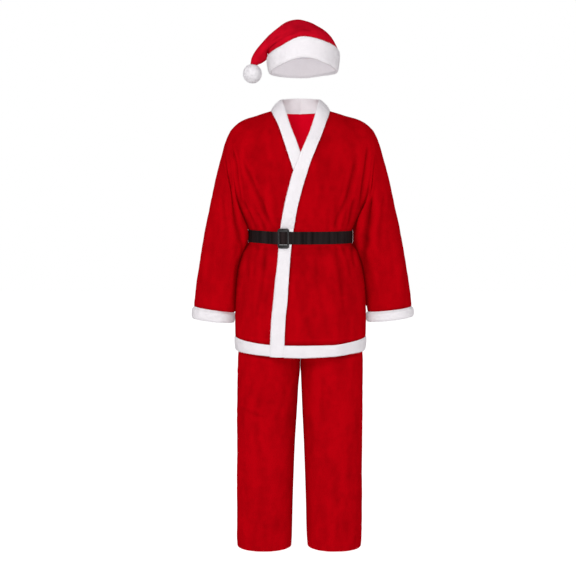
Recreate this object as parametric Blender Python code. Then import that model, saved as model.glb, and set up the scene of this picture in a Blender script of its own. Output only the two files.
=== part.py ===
"""Santa suit: wrap jacket with plush trims and belt, trousers, hat. Metres, +Z up, front towards -Y.

The origin is the middle of the neck, level with the shoulder seams. +X is the wearer's left side.
Every cloth piece is a wall with two faces, worked out from the rows of sizes below.
"""
import math

import bpy
import numpy as np

SEAM = 0.0003
WALL = 0.0020
SECTION_POWER = 2.3
NECK_HALF = 0.0895
SHOULDER_DROP = 0.150
RED = "red_velour"
WHITE = "white_plush"
BLACK = "black_webbing"
DARK = "dark_buckle"
THREAD = "white_thread"

# height z, half width of the trunk, front depth, back depth
TRUNK_ROWS = (
    (0.060, 0.1865, 0.096, 0.098),
    (0.000, 0.1865, 0.098, 0.100),
    (-0.060, 0.1865, 0.104, 0.108),
    (-0.120, 0.1865, 0.111, 0.112),
    (-0.180, 0.1865, 0.114, 0.112),
    (-0.250, 0.1865, 0.116, 0.110),
    (-0.295, 0.1865, 0.116, 0.108),
    (-0.312, 0.1795, 0.115, 0.107),
    (-0.335, 0.1690, 0.108, 0.104),
    (-0.351, 0.1625, 0.1042, 0.100),
    (-0.3605, 0.1583, 0.1035, 0.0965),
    (-0.4015, 0.1583, 0.1035, 0.0965),
    (-0.411, 0.1645, 0.1044, 0.101),
    (-0.424, 0.1735, 0.1100, 0.107),
    (-0.444, 0.1815, 0.118, 0.110),
    (-0.487, 0.1920, 0.123, 0.114),
    (-0.536, 0.1982, 0.127, 0.117),
    (-0.583, 0.2012, 0.129, 0.119),
    (-0.650, 0.2025, 0.131, 0.121),
    (-0.690, 0.2022, 0.131, 0.122),
    (-0.745, 0.1982, 0.130, 0.120),
)

# distance from the neck middle, height of the shoulder line
SHOULDER_ROWS = (
    (0.0000, 0.0430),
    (0.0895, 0.0030),
    (0.1150, -0.0048),
    (0.1361, -0.0120),
    (0.1667, -0.0212),
    (0.1851, -0.0303),
    (0.1973, -0.0394),
    (0.2080, -0.0500),
    (0.2140, -0.0570),
    (0.2300, -0.0800),
)

# height z, distance of the armhole seam from the middle
ARMHOLE_ROWS = (
    (-0.0570, 0.2140),
    (-0.1000, 0.2090),
    (-0.1600, 0.2040),
    (-0.1970, 0.2005),
    (-0.2580, 0.1925),
    (-0.2950, 0.1865),
)
ARMHOLE_TOP = -0.0570
ARMHOLE_LOW = -0.2950
ARMHOLE_DEPTH = 0.066

# height z, x of the band seam and of the band's free edge on the over side and the under side
EDGE_ROWS = (
    (0.0030, 0.0895, 0.0480, -0.0895, -0.0480),
    (-0.0150, 0.0845, 0.0426, -0.0825, -0.0415),
    (-0.0447, 0.0742, 0.0334, -0.0697, -0.0318),
    (-0.0831, 0.0608, 0.0185, -0.0564, -0.0165),
    (-0.1189, 0.0456, 0.0028, -0.0444, -0.0035),
    (-0.1546, 0.0306, -0.0115, -0.0321, 0.0115),
    (-0.1904, 0.0180, -0.0255, -0.0200, 0.0245),
    (-0.2262, 0.0060, -0.0351, -0.0070, 0.0351),
    (-0.2619, -0.0030, -0.0441, 0.0030, 0.0441),
    (-0.2976, -0.0114, -0.0513, 0.0114, 0.0513),
    (-0.3334, -0.0177, -0.0579, 0.0177, 0.0579),
    (-0.3870, -0.0255, -0.0636, 0.0255, 0.0636),
    (-0.4586, -0.0321, -0.0693, 0.0321, 0.0693),
    (-0.5121, -0.0357, -0.0759, 0.0357, 0.0759),
    (-0.5658, -0.0390, -0.0807, 0.0390, 0.0807),
    (-0.6194, -0.0444, -0.0864, 0.0444, 0.0864),
    (-0.6731, -0.0474, -0.0894, 0.0474, 0.0894),
    (-0.7400, -0.0490, -0.0915, 0.0490, 0.0915),
)

# bands beside the neck: seam x, seam z, free x, free y, free z
NECK_ROWS = (
    (0.0895, 0.0030, 0.0580, 0.000, 0.0370),
    (0.0870, -0.0060, 0.0545, -0.025, 0.0290),
    (0.0835, -0.0165, 0.0505, -0.045, 0.0160),
    (0.0795, -0.0285, 0.0462, -0.059, 0.0010),
    (0.0750, -0.0420, 0.0425, -0.069, -0.0140),
)
COLLAR_BACK_LEAN = 0.006

BAND_LOW = -0.0035
BAND_THICK = 0.0062
OVER_LIFT = 0.0072
CROSS_TOP = -0.060
CROSS_FULL = -0.112

# distance from the middle, height of the line where the panels end and the hem trims begin
HEM_ROWS = (
    (0.000, -0.7015),
    (0.090, -0.7010),
    (0.157, -0.6955),
    (0.185, -0.6915),
    (0.200, -0.6890),
)
# distance from the middle, height of the lowest edge of the hem trims
HEM_LOW_ROWS = (
    (0.000, -0.7390),
    (0.090, -0.7360),
    (0.157, -0.7325),
    (0.185, -0.7312),
    (0.200, -0.7305),
)

# soft folds of the front: x0, z0, x1, z1, height, width (troughs are negative)
FRONT_FOLDS = (
    (-0.170, -0.100, -0.125, -0.225, -0.0042, 0.0110),
    (-0.137, -0.190, -0.092, -0.352, -0.0050, 0.0100),
    (-0.160, -0.230, -0.132, -0.352, 0.0036, 0.0110),
    (-0.176, -0.190, -0.150, -0.345, -0.0034, 0.0090),
    (-0.112, -0.270, -0.080, -0.352, 0.0030, 0.0100),
    (-0.150, -0.405, -0.150, -0.500, -0.0036, 0.0100),
    (-0.132, -0.405, -0.138, -0.560, 0.0030, 0.0120),
    (-0.108, -0.405, -0.112, -0.480, -0.0032, 0.0090),
    (-0.170, -0.560, -0.140, -0.680, -0.0030, 0.0130),
    (0.150, -0.180, 0.118, -0.350, -0.0042, 0.0110),
    (0.172, -0.130, 0.150, -0.345, -0.0036, 0.0100),
    (0.136, -0.240, 0.112, -0.350, 0.0036, 0.0110),
    (0.112, -0.250, 0.094, -0.352, -0.0030, 0.0090),
    (0.112, -0.405, 0.128, -0.560, -0.0042, 0.0110),
    (0.130, -0.405, 0.150, -0.520, 0.0036, 0.0100),
    (0.145, -0.405, 0.165, -0.620, -0.0034, 0.0110),
    (0.092, -0.410, 0.100, -0.500, 0.0024, 0.0120),
    (0.120, -0.560, 0.140, -0.690, -0.0024, 0.0140),
)
# soft folds of the back, the same columns
BACK_FOLDS = (
    (-0.150, -0.110, -0.112, -0.240, -0.0036, 0.0120),
    (0.152, -0.120, 0.116, -0.230, -0.0036, 0.0120),
    (-0.110, -0.240, -0.092, -0.352, -0.0040, 0.0110),
    (-0.060, -0.200, -0.050, -0.352, 0.0036, 0.0130),
    (-0.016, -0.230, -0.012, -0.352, -0.0034, 0.0120),
    (0.040, -0.220, 0.032, -0.352, 0.0036, 0.0130),
    (0.080, -0.250, 0.070, -0.352, -0.0040, 0.0110),
    (0.128, -0.230, 0.116, -0.352, 0.0032, 0.0110),
    (-0.120, -0.405, -0.138, -0.560, -0.0042, 0.0120),
    (-0.082, -0.405, -0.092, -0.520, 0.0034, 0.0120),
    (-0.036, -0.405, -0.040, -0.600, -0.0042, 0.0130),
    (0.010, -0.405, 0.014, -0.540, 0.0034, 0.0120),
    (0.058, -0.405, 0.066, -0.620, -0.0042, 0.0130),
    (0.112, -0.405, 0.128, -0.540, -0.0036, 0.0120),
)

# sleeve sections from the armhole down: outer x, outer z, inner x, inner z, half depth, set back y,
# how far the front fold and the back of the sleeve lap in past the side of the jacket
SLEEVE_ROWS = (
    (0.2235, -0.0760, 0.1868, -0.3005, 0.0665, 0.001, 0.000, 0.000),
    (0.2320, -0.1000, 0.1852, -0.3080, 0.0670, 0.002, 0.001, 0.001),
    (0.2410, -0.1310, 0.1822, -0.3180, 0.0675, 0.003, 0.003, 0.003),
    (0.2500, -0.1620, 0.1780, -0.3310, 0.0680, 0.004, 0.006, 0.008),
    (0.2600, -0.2000, 0.1728, -0.3480, 0.0685, 0.005, 0.010, 0.017),
    (0.2700, -0.2450, 0.1680, -0.3680, 0.0685, 0.006, 0.015, 0.027),
    (0.2810, -0.2960, 0.1662, -0.3930, 0.0680, 0.007, 0.017, 0.030),
    (0.2935, -0.3510, 0.1765, -0.4250, 0.0670, 0.008, 0.009, 0.030),
    (0.3035, -0.4070, 0.1905, -0.4650, 0.0650, 0.008, 0.001, 0.028),
    (0.3130, -0.4620, 0.1975, -0.5080, 0.0625, 0.008, 0.000, 0.026),
    (0.3215, -0.5160, 0.2020, -0.5510, 0.0600, 0.008, 0.000, 0.024),
    (0.3275, -0.5620, 0.2052, -0.5880, 0.0575, 0.008, 0.000, 0.021),
    (0.3310, -0.5960, 0.2070, -0.6130, 0.0555, 0.008, 0.000, 0.000),
)
FRONT_LOBE_TURN = 2.42
BACK_LOBE_TURN = 3.84
FRONT_LOBE_WIDTH = 0.30
BACK_LOBE_WIDTH = 0.23
LEFT_SPREAD = 0.0065
LEFT_REACH = 0.0090

# cuff sections: how far along, outer x, outer z, inner x, inner z, outer half depth, wall
CUFF_ROWS = (
    (0.3318, -0.5964, 0.2062, -0.6134, 0.0568, 0.0050),
    (0.3348, -0.6010, 0.2038, -0.6180, 0.0600, 0.0085),
    (0.3362, -0.6138, 0.2039, -0.6305, 0.0612, 0.0096),
    (0.3366, -0.6262, 0.2050, -0.6412, 0.0610, 0.0092),
    (0.3340, -0.6328, 0.2080, -0.6470, 0.0580, 0.0050),
)
CUFF_SET_BACK = 0.008
LEFT_CUFF_RISE = 0.0060

# sleeve folds: along 0..1, around 0..1 (0 outer, 0.25 front, 0.5 inner) at both ends, height, width
SLEEVE_FOLDS = (
    (0.06, 0.20, 0.62, 0.36, -0.0060, 0.040),
    (0.04, 0.27, 0.55, 0.43, 0.0035, 0.035),
    (0.02, 0.11, 0.45, 0.20, -0.0022, 0.050),
    (0.50, 0.24, 0.95, 0.27, -0.0028, 0.040),
    (0.60, 0.13, 0.98, 0.17, 0.0022, 0.050),
    (0.62, 0.33, 0.96, 0.36, 0.0024, 0.040),
    (0.06, 0.80, 0.60, 0.66, -0.0050, 0.045),
    (0.05, 0.72, 0.50, 0.60, 0.0030, 0.040),
    (0.45, 0.78, 0.92, 0.74, -0.0028, 0.045),
    (0.55, 0.88, 0.95, 0.84, 0.0022, 0.050),
)

# trousers: z, outer x and inner x of the wearer's right leg, the same of the left, front, back depth
LEG_ROWS = (
    (-0.3900, 0.1545, 0.000, 0.1545, 0.000, 0.0985, 0.0915),
    (-0.4300, 0.1560, 0.000, 0.1560, 0.000, 0.0990, 0.0930),
    (-0.4800, 0.1700, 0.000, 0.1700, 0.000, 0.1050, 0.1000),
    (-0.5500, 0.1810, 0.000, 0.1810, 0.000, 0.1100, 0.1060),
    (-0.6300, 0.1870, 0.000, 0.1870, 0.000, 0.1110, 0.1060),
    (-0.7000, 0.1910, 0.000, 0.1915, 0.000, 0.1030, 0.0970),
    (-0.7450, 0.1934, 0.0006, 0.1940, 0.0006, 0.0985, 0.0925),
    (-0.7900, 0.1954, 0.0009, 0.1952, 0.0011, 0.0980, 0.0920),
    (-0.8400, 0.1964, 0.0052, 0.1952, 0.0030, 0.0970, 0.0905),
    (-0.9200, 0.1972, 0.0098, 0.1950, 0.0062, 0.0945, 0.0885),
    (-1.0200, 0.1978, 0.0160, 0.1948, 0.0110, 0.0910, 0.0865),
    (-1.1200, 0.1986, 0.0200, 0.1946, 0.0148, 0.0865, 0.0840),
    (-1.2200, 0.1990, 0.0232, 0.1946, 0.0180, 0.0820, 0.0800),
    (-1.3200, 0.1996, 0.0256, 0.1946, 0.0205, 0.0770, 0.0770),
    (-1.3540, 0.1984, 0.0274, 0.1928, 0.0232, 0.0745, 0.0745),
)
CROTCH = -0.7450
RISE_START = -0.600

# leg folds: z, around 0..1 (0 inner, 0.25 front, 0.5 outer, 0.75 back) at both ends, height, width
RIGHT_LEG_FOLDS = (
    (-0.80, 0.20, -1.02, 0.24, 0.0022, 0.040),
    (-0.98, 0.40, -1.16, 0.36, -0.0030, 0.026),
    (-1.00, 0.33, -1.20, 0.31, 0.0022, 0.035),
    (-0.78, 0.08, -1.05, 0.12, -0.0026, 0.040),
    (-1.12, 0.10, -1.30, 0.14, -0.0026, 0.035),
    (-0.90, 0.37, -0.93, 0.27, -0.0020, 0.030),
    (-0.80, 0.70, -1.10, 0.74, -0.0030, 0.035),
    (-1.00, 0.84, -1.28, 0.82, 0.0024, 0.040),
    (-0.95, 0.60, -1.25, 0.63, 0.0022, 0.035),
)
LEFT_LEG_FOLDS = (
    (-0.77, 0.17, -1.00, 0.15, 0.0026, 0.030),
    (-0.77, 0.24, -0.98, 0.22, -0.0028, 0.026),
    (-0.86, 0.42, -1.10, 0.38, -0.0026, 0.032),
    (-1.10, 0.36, -1.30, 0.39, -0.0030, 0.032),
    (-1.02, 0.28, -1.26, 0.30, 0.0022, 0.035),
    (-1.20, 0.14, -1.32, 0.20, -0.0018, 0.035),
    (-0.80, 0.74, -1.08, 0.70, -0.0030, 0.035),
    (-1.02, 0.60, -1.28, 0.64, -0.0024, 0.035),
    (-0.90, 0.84, -1.20, 0.86, 0.0024, 0.040),
)

BELT_MID = -0.3812
BELT_HALF = 0.0187
BELT_THICK = 0.0015
BELT_W = 0.1583
BELT_F = 0.1035
BELT_B = 0.0965
BUCKLE_X = -0.0503
BELT_STAND = 0.0007
# path of the belt's outer layer near the buckle: x, stand off
BELT_OVER_ROWS = (
    (0.0330, 0.0079),
    (0.0200, 0.0079),
    (0.0000, 0.0079),
    (-0.0150, 0.0079),
    (-0.0290, 0.0079),
    (-0.0335, 0.0079),
    (-0.0400, 0.0079),
    (-0.0430, 0.0085),
    (-0.0462, 0.0102),
    (-0.0544, 0.0102),
    (-0.0576, 0.0085),
    (-0.0606, 0.0079),
    (-0.0680, 0.0079),
    (-0.0740, 0.0060),
    (-0.0830, 0.0030),
    (-0.0960, 0.0009),
    (-0.1080, 0.0007),
)
# path of the belt's inner end coming round from the wearer's left: x, stand off
BELT_UNDER_ROWS = (
    (0.1240, 0.0014),
    (0.1060, 0.0034),
    (0.0900, 0.0050),
    (0.0740, 0.0061),
    (0.0560, 0.0061),
    (0.0360, 0.0061),
    (0.0180, 0.0061),
    (0.0000, 0.0061),
    (-0.0180, 0.0061),
    (-0.0350, 0.0061),
    (-0.0480, 0.0061),
)

# hat crown sections above the band: outer x, outer z, inner x, inner z, half depth, set back y,
# how far the front is higher than the back, how far front and back are higher than the sides
CROWN_ROWS = (
    (0.1062, 0.2005, -0.0985, 0.1735, 0.1015, 0.001, 0.0180, 0.0160),
    (0.0918, 0.2230, -0.0995, 0.1762, 0.0970, 0.001, 0.0150, 0.0120),
    (0.0748, 0.2400, -0.1006, 0.1782, 0.0910, 0.002, 0.0100, 0.0080),
    (0.0522, 0.2562, -0.1016, 0.1794, 0.0835, 0.002, 0.0060, 0.0040),
    (0.0255, 0.2692, -0.1026, 0.1798, 0.0755, 0.001, 0.0030, 0.0010),
    (-0.0100, 0.2774, -0.1035, 0.1794, 0.0675, 0.000, 0.0000, 0.0000),
    (-0.0395, 0.2704, -0.1043, 0.1780, 0.0590, -0.001, 0.0000, 0.0000),
    (-0.0660, 0.2542, -0.1049, 0.1757, 0.0510, -0.002, 0.0000, 0.0000),
    (-0.0905, 0.2340, -0.1053, 0.1722, 0.0430, -0.003, 0.0000, 0.0000),
    (-0.1135, 0.2117, -0.1057, 0.1676, 0.0360, -0.004, 0.0000, 0.0000),
    (-0.1305, 0.1927, -0.1068, 0.1622, 0.0300, -0.004, 0.0000, 0.0000),
    (-0.1425, 0.1752, -0.1135, 0.1550, 0.0245, -0.004, 0.0000, 0.0000),
    (-0.1492, 0.1612, -0.1232, 0.1466, 0.0190, -0.004, 0.0000, 0.0000),
    (-0.1526, 0.1450, -0.1325, 0.1405, 0.0125, -0.004, 0.0000, 0.0000),
)
# hat folds: along 0..1, around 0..1 at both ends, height, width
CROWN_FOLDS = (
    (0.08, 0.36, 0.40, 0.31, -0.0034, 0.045),
    (0.22, 0.16, 0.55, 0.22, -0.0030, 0.050),
    (0.16, 0.27, 0.42, 0.24, 0.0035, 0.045),
    (0.60, 0.38, 0.90, 0.35, -0.0022, 0.050),
    (0.12, 0.66, 0.48, 0.70, -0.0045, 0.050),
    (0.30, 0.84, 0.60, 0.80, -0.0030, 0.050),
    (0.55, 0.72, 0.85, 0.74, 0.0022, 0.060),
)
CROWN_WALL = 0.0018

# hat band, eight places round it: angle in degrees from the wearer's left, low z, top z
BAND_RIM_ROWS = (
    (0.0, 0.1190, 0.1790),
    (45.0, 0.1190, 0.1770),
    (90.0, 0.1140, 0.1730),
    (135.0, 0.1150, 0.1680),
    (180.0, 0.1165, 0.1655),
    (225.0, 0.1330, 0.1830),
    (270.0, 0.1515, 0.2120),
    (315.0, 0.1360, 0.1970),
    (360.0, 0.1190, 0.1790),
)
POMPOM_CENTRE = (-0.1467, -0.004, 0.1152)
POMPOM_CORE = 0.0240
POMPOM_TUFT = 0.0043


def pchip(rows, column):
    """A smooth curve through one column of a table of rows, over its first column."""
    xs = np.array([row[0] for row in rows], float)
    ys = np.array([row[column] for row in rows], float)
    if xs[0] > xs[-1]:
        xs = xs[::-1]
        ys = ys[::-1]
    step = np.diff(xs)
    slope = np.diff(ys) / step
    lean = np.zeros(len(xs))
    lean[0] = slope[0]
    lean[-1] = slope[-1]
    for i in range(1, len(xs) - 1):
        if slope[i - 1] * slope[i] > 0:
            w1 = 2 * step[i] + step[i - 1]
            w2 = step[i] + 2 * step[i - 1]
            lean[i] = (w1 + w2) / (w1 / slope[i - 1] + w2 / slope[i])

    def curve(x):
        x = np.clip(np.asarray(x, float), xs[0], xs[-1])
        i = np.clip(np.searchsorted(xs, x, side="right") - 1, 0, len(step) - 1)
        t = (x - xs[i]) / step[i]
        a = (1 + 2 * t) * (1 - t) ** 2 * ys[i] + t * (1 - t) ** 2 * step[i] * lean[i]
        b = t * t * (3 - 2 * t) * ys[i + 1] + t * t * (t - 1) * step[i] * lean[i + 1]
        return a + b

    return curve


def ramp(x, start, end):
    """0 at start, 1 at end, smooth between."""
    t = np.clip((np.asarray(x, float) - start) / (end - start), 0, 1)
    return t * t * (3 - 2 * t)


trunk_half = pchip(TRUNK_ROWS, 1)
trunk_front = pchip(TRUNK_ROWS, 2)
trunk_back = pchip(TRUNK_ROWS, 3)
shoulder_line = pchip(SHOULDER_ROWS, 1)
armhole_x = pchip(ARMHOLE_ROWS, 1)
hem_line = pchip(HEM_ROWS, 1)
hem_low = pchip(HEM_LOW_ROWS, 1)
over_seam = pchip(EDGE_ROWS, 1)
over_free = pchip(EDGE_ROWS, 2)
under_seam = pchip(EDGE_ROWS, 3)
under_free = pchip(EDGE_ROWS, 4)


def drop(x, z):
    """Rounding of the trunk below the shoulder line, 0 at the line and 1 well below it."""
    s = np.clip((shoulder_line(np.abs(x)) - z) / SHOULDER_DROP, 0, 1)
    return np.sqrt(np.clip(1 - (1 - s) ** 2, 0, 1))


def reach_rows():
    """Width the trunk's section would have above the underarm, so that it meets the armhole."""
    rows = []
    mid = (ARMHOLE_TOP + ARMHOLE_LOW) / 2
    half = (ARMHOLE_TOP - ARMHOLE_LOW) / 2
    for k in range(1, 24):
        z = mid + half * math.cos(math.pi * k / 24)
        deep = ARMHOLE_DEPTH * math.sin(math.pi * k / 24)
        x = float(armhole_x(z))
        share = deep / (float(trunk_front(z)) * float(drop(x, z)))
        share = min(share, 0.93)
        rows.append((z, x / (1 - share ** SECTION_POWER) ** (1 / SECTION_POWER)))
    rows.append((ARMHOLE_LOW, float(armhole_x(ARMHOLE_LOW))))
    return rows


reach_upper = pchip(reach_rows(), 1)


def section_half(z):
    z = np.asarray(z, float)
    return np.where(z > ARMHOLE_LOW, reach_upper(z), trunk_half(z))


def skin_y(side, x, z):
    """How far forward (side -1) or back (side +1) the trunk's outer face lies."""
    depth = trunk_front(z) if side < 0 else trunk_back(z)
    share = np.clip(1 - (np.abs(x) / section_half(z)) ** SECTION_POWER, 0, 1)
    return side * depth * drop(x, z) * share ** (1 / SECTION_POWER)


def line_folds(rows, x, z):
    """Height of the soft folds at x, z: a ridge or a trough along each row's line."""
    total = np.zeros(np.broadcast(x, z).shape)
    for x0, z0, x1, z1, height, width in rows:
        dx = x1 - x0
        dz = z1 - z0
        length = math.hypot(dx, dz)
        along = ((x - x0) * dx + (z - z0) * dz) / length ** 2
        away = ((x - x0) * dz - (z - z0) * dx) / length
        fade = np.sin(math.pi * np.clip(along, 0, 1)) ** 0.7
        total = total + height * fade * np.exp(-0.5 * (away / width) ** 2)
    return total


def trunk_folds(side, x, z):
    rows = FRONT_FOLDS if side < 0 else BACK_FOLDS
    free = ramp(np.abs(skin_y(side, x, z)), 0.004, 0.034)
    belt = ramp(np.abs(z - BELT_MID), 0.021, 0.040)
    return line_folds(rows, x, z) * free * belt


def grid_normals(points, ghosts=()):
    """Normals of a grid of points. A side named in ghosts is mirrored there in the plane y = 0."""
    rows, cols = points.shape[:2]
    big = np.zeros((rows + 2, cols + 2, 3))
    big[1:-1, 1:-1] = points
    mirror = np.array([1.0, -1.0, 1.0])
    big[0, 1:-1] = points[1] * mirror if "top" in ghosts else 2 * points[0] - points[1]
    big[-1, 1:-1] = points[-2] * mirror if "low" in ghosts else 2 * points[-1] - points[-2]
    big[1:-1, 0] = points[:, 1] * mirror if "start" in ghosts else 2 * points[:, 0] - points[:, 1]
    big[1:-1, -1] = points[:, -2] * mirror if "end" in ghosts else 2 * points[:, -1] - points[:, -2]
    if "ring" in ghosts:
        big[1:-1, 0] = points[:, -1]
        big[1:-1, -1] = points[:, 0]
    across = big[1:-1, 2:] - big[1:-1, :-2]
    down = big[2:, 1:-1] - big[:-2, 1:-1]
    normal = np.cross(down, across)
    length = np.linalg.norm(normal, axis=2, keepdims=True)
    return normal / np.maximum(length, 1e-12)


def outward(normals, points, centre):
    """Turn a whole grid of normals so that it points away from the centre."""
    away = np.sum(normals * (points - np.array(centre)))
    return normals if away > 0 else -normals


def left_reach(points):
    """The jacket hangs a little fuller on the wearer's left: push that side out, smoothly."""
    moved = np.array(points, float)
    start = 0.100 + 0.070 * ramp(-moved[:, 2], 0.260, 0.400)
    share = ramp(moved[:, 0] - start, 0.0, 0.130)
    low = 1 - ramp(-moved[:, 2], 0.640, 0.760)
    moved[:, 0] += LEFT_REACH * share * low
    return moved


def add_object(name, verts, faces, colour):
    verts = left_reach(verts)
    mesh = bpy.data.meshes.new(name)
    mesh.from_pydata([tuple(v) for v in verts], [], faces)
    mesh.update()
    volume = 0.0
    for face in faces:
        a = np.array(verts[face[0]])
        for k in range(1, len(face) - 1):
            volume += np.dot(a, np.cross(np.array(verts[face[k]]), np.array(verts[face[k + 1]])))
    if volume < 0:
        mesh.flip_normals()
    item = bpy.data.objects.new(name, mesh)
    bpy.context.collection.objects.link(item)
    mesh.materials.append(material_for(name, colour))
    return item


COLOURS = {
    RED: ((0.42, 0.004, 0.010, 1.0), 0.85, 0.0),
    WHITE: ((0.86, 0.86, 0.87, 1.0), 0.95, 0.0),
    BLACK: ((0.020, 0.018, 0.018, 1.0), 0.55, 0.0),
    DARK: ((0.050, 0.045, 0.048, 1.0), 0.35, 0.0),
    THREAD: ((0.80, 0.80, 0.80, 1.0), 0.60, 0.0),
}


def material_for(name, colour):
    material = bpy.data.materials.new(name + "_" + colour)
    material.use_nodes = True
    shader = material.node_tree.nodes["Principled BSDF"]
    base, rough, metal = COLOURS[colour]
    shader.inputs["Base Color"].default_value = base
    shader.inputs["Roughness"].default_value = rough
    shader.inputs["Metallic"].default_value = metal
    material.diffuse_color = base
    return material


def sheet(name, outer, inner, colour, ring=False):
    """A closed wall between an outer and an inner grid of points; ring joins last column to first."""
    rows, cols = outer.shape[:2]
    verts = [tuple(p) for p in outer.reshape(-1, 3)] + [tuple(p) for p in inner.reshape(-1, 3)]
    back = rows * cols
    faces = []
    wrap = cols if ring else cols - 1
    for j in range(rows - 1):
        for i in range(wrap):
            k = (i + 1) % cols
            a = j * cols + i
            b = j * cols + k
            c = (j + 1) * cols + k
            d = (j + 1) * cols + i
            faces.append((a, b, c))
            faces.append((a, c, d))
            faces.append((back + a, back + c, back + b))
            faces.append((back + a, back + d, back + c))
    for i in range(wrap):
        k = (i + 1) % cols
        faces.append((k, i, back + i, back + k))
        low = (rows - 1) * cols
        faces.append((low + i, low + k, back + low + k, back + low + i))
    if not ring:
        for j in range(rows - 1):
            a = j * cols
            d = (j + 1) * cols
            faces.append((a, d, back + d, back + a))
            e = a + cols - 1
            f = d + cols - 1
            faces.append((f, e, back + e, back + f))
    return add_object(name, verts, faces, colour)


def tube(name, rings, colour, closed_path=False):
    """A solid swept through rings of points (stations x ring), with flat ends."""
    stations, count = rings.shape[:2]
    verts = [tuple(p) for p in rings.reshape(-1, 3)]
    faces = []
    last = stations if closed_path else stations - 1
    for j in range(last):
        n = (j + 1) % stations
        for i in range(count):
            k = (i + 1) % count
            faces.append((j * count + i, j * count + k, n * count + k, n * count + i))
    if not closed_path:
        faces.append(tuple(reversed(range(count))))
        faces.append(tuple((stations - 1) * count + i for i in range(count)))
    return add_object(name, verts, faces, colour)


UPPER_STEPS = 9
LOWER_LEVELS = (-0.312, -0.332, -0.350, -0.3605, -0.3812, -0.4015, -0.411, -0.424, -0.444,
                -0.470, -0.500, -0.535, -0.575, -0.615, -0.655)
FRONT_COLUMNS = 13


def over_rise(x, z):
    """How far the over side stands off the under side, from 0 (alone) to 1 (on top of it)."""
    down = ramp(-np.asarray(z, float), -CROSS_TOP, -CROSS_FULL)
    edge = under_free(z) + 0.010
    side = 1 - ramp(x, edge, edge + 0.055)
    return down * side


def front_grid(hand):
    """x and z of a front panel's grid: rows fan from the shoulder seam to the hem."""
    seam = over_seam if hand > 0 else under_seam
    xs = []
    zs = []
    count = UPPER_STEPS + len(LOWER_LEVELS) + 1
    for j in range(count + 1):
        if j <= UPPER_STEPS:
            turn = math.pi * j / UPPER_STEPS
            mid = (ARMHOLE_TOP + ARMHOLE_LOW) / 2
            half = (ARMHOLE_TOP - ARMHOLE_LOW) / 2
            z_out = mid + half * math.cos(turn)
            x_out = hand * float(armhole_x(z_out))
            z_in = 0.003 - (0.003 - ARMHOLE_LOW) * (1 - math.cos(turn)) / 2
        elif j < count:
            z_out = LOWER_LEVELS[j - UPPER_STEPS - 1]
            z_in = z_out
            x_out = hand * float(trunk_half(z_out))
        else:
            x_out = hand * float(trunk_half(-0.689))
            z_out = float(hem_line(abs(x_out)))
            z_in = float(hem_line(abs(float(seam(-0.7)))))
        x_in = float(seam(z_in)) + hand * SEAM / 2
        wide_in = float(section_half(z_in))
        wide_out = float(section_half(z_out))
        power = SECTION_POWER / 2
        row_x = []
        row_z = []
        for i in range(FRONT_COLUMNS + 1):
            v = i / FRONT_COLUMNS
            share_out = min(1.0, abs(x_out) / wide_out)
            a_out = math.acos(share_out ** power)
            a_start = math.acos(min(1.0, abs(x_in) / wide_in) ** power)
            if x_in * hand < 0:
                a_start = math.pi - a_start
            a = a_start + (a_out - a_start) * v
            c = math.copysign(abs(math.cos(a)) ** (1 / power), math.cos(a))
            c0 = math.copysign(abs(math.cos(a_start)) ** (1 / power), math.cos(a_start))
            c1 = math.cos(a_out) ** (1 / power)
            even = 0.45 * (1 - float(ramp(j, 2, UPPER_STEPS + 1)))
            f = (1 - even) * (c - c0) / (c1 - c0) + even * v
            x = x_in + (x_out - x_in) * f
            z = z_in + (z_out - z_in) * f
            if j < UPPER_STEPS:
                hold = 1 - ramp(j / UPPER_STEPS, 0.0, 0.7)
                first = 0.003 + (ARMHOLE_TOP - 0.003) * f
                z += (float(shoulder_line(abs(x))) - first) * hold
            if j == count:
                z = float(hem_line(abs(x)))
            row_x.append(x)
            row_z.append(z)
        xs.append(row_x)
        zs.append(row_z)
    return np.array(xs), np.array(zs)


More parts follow.
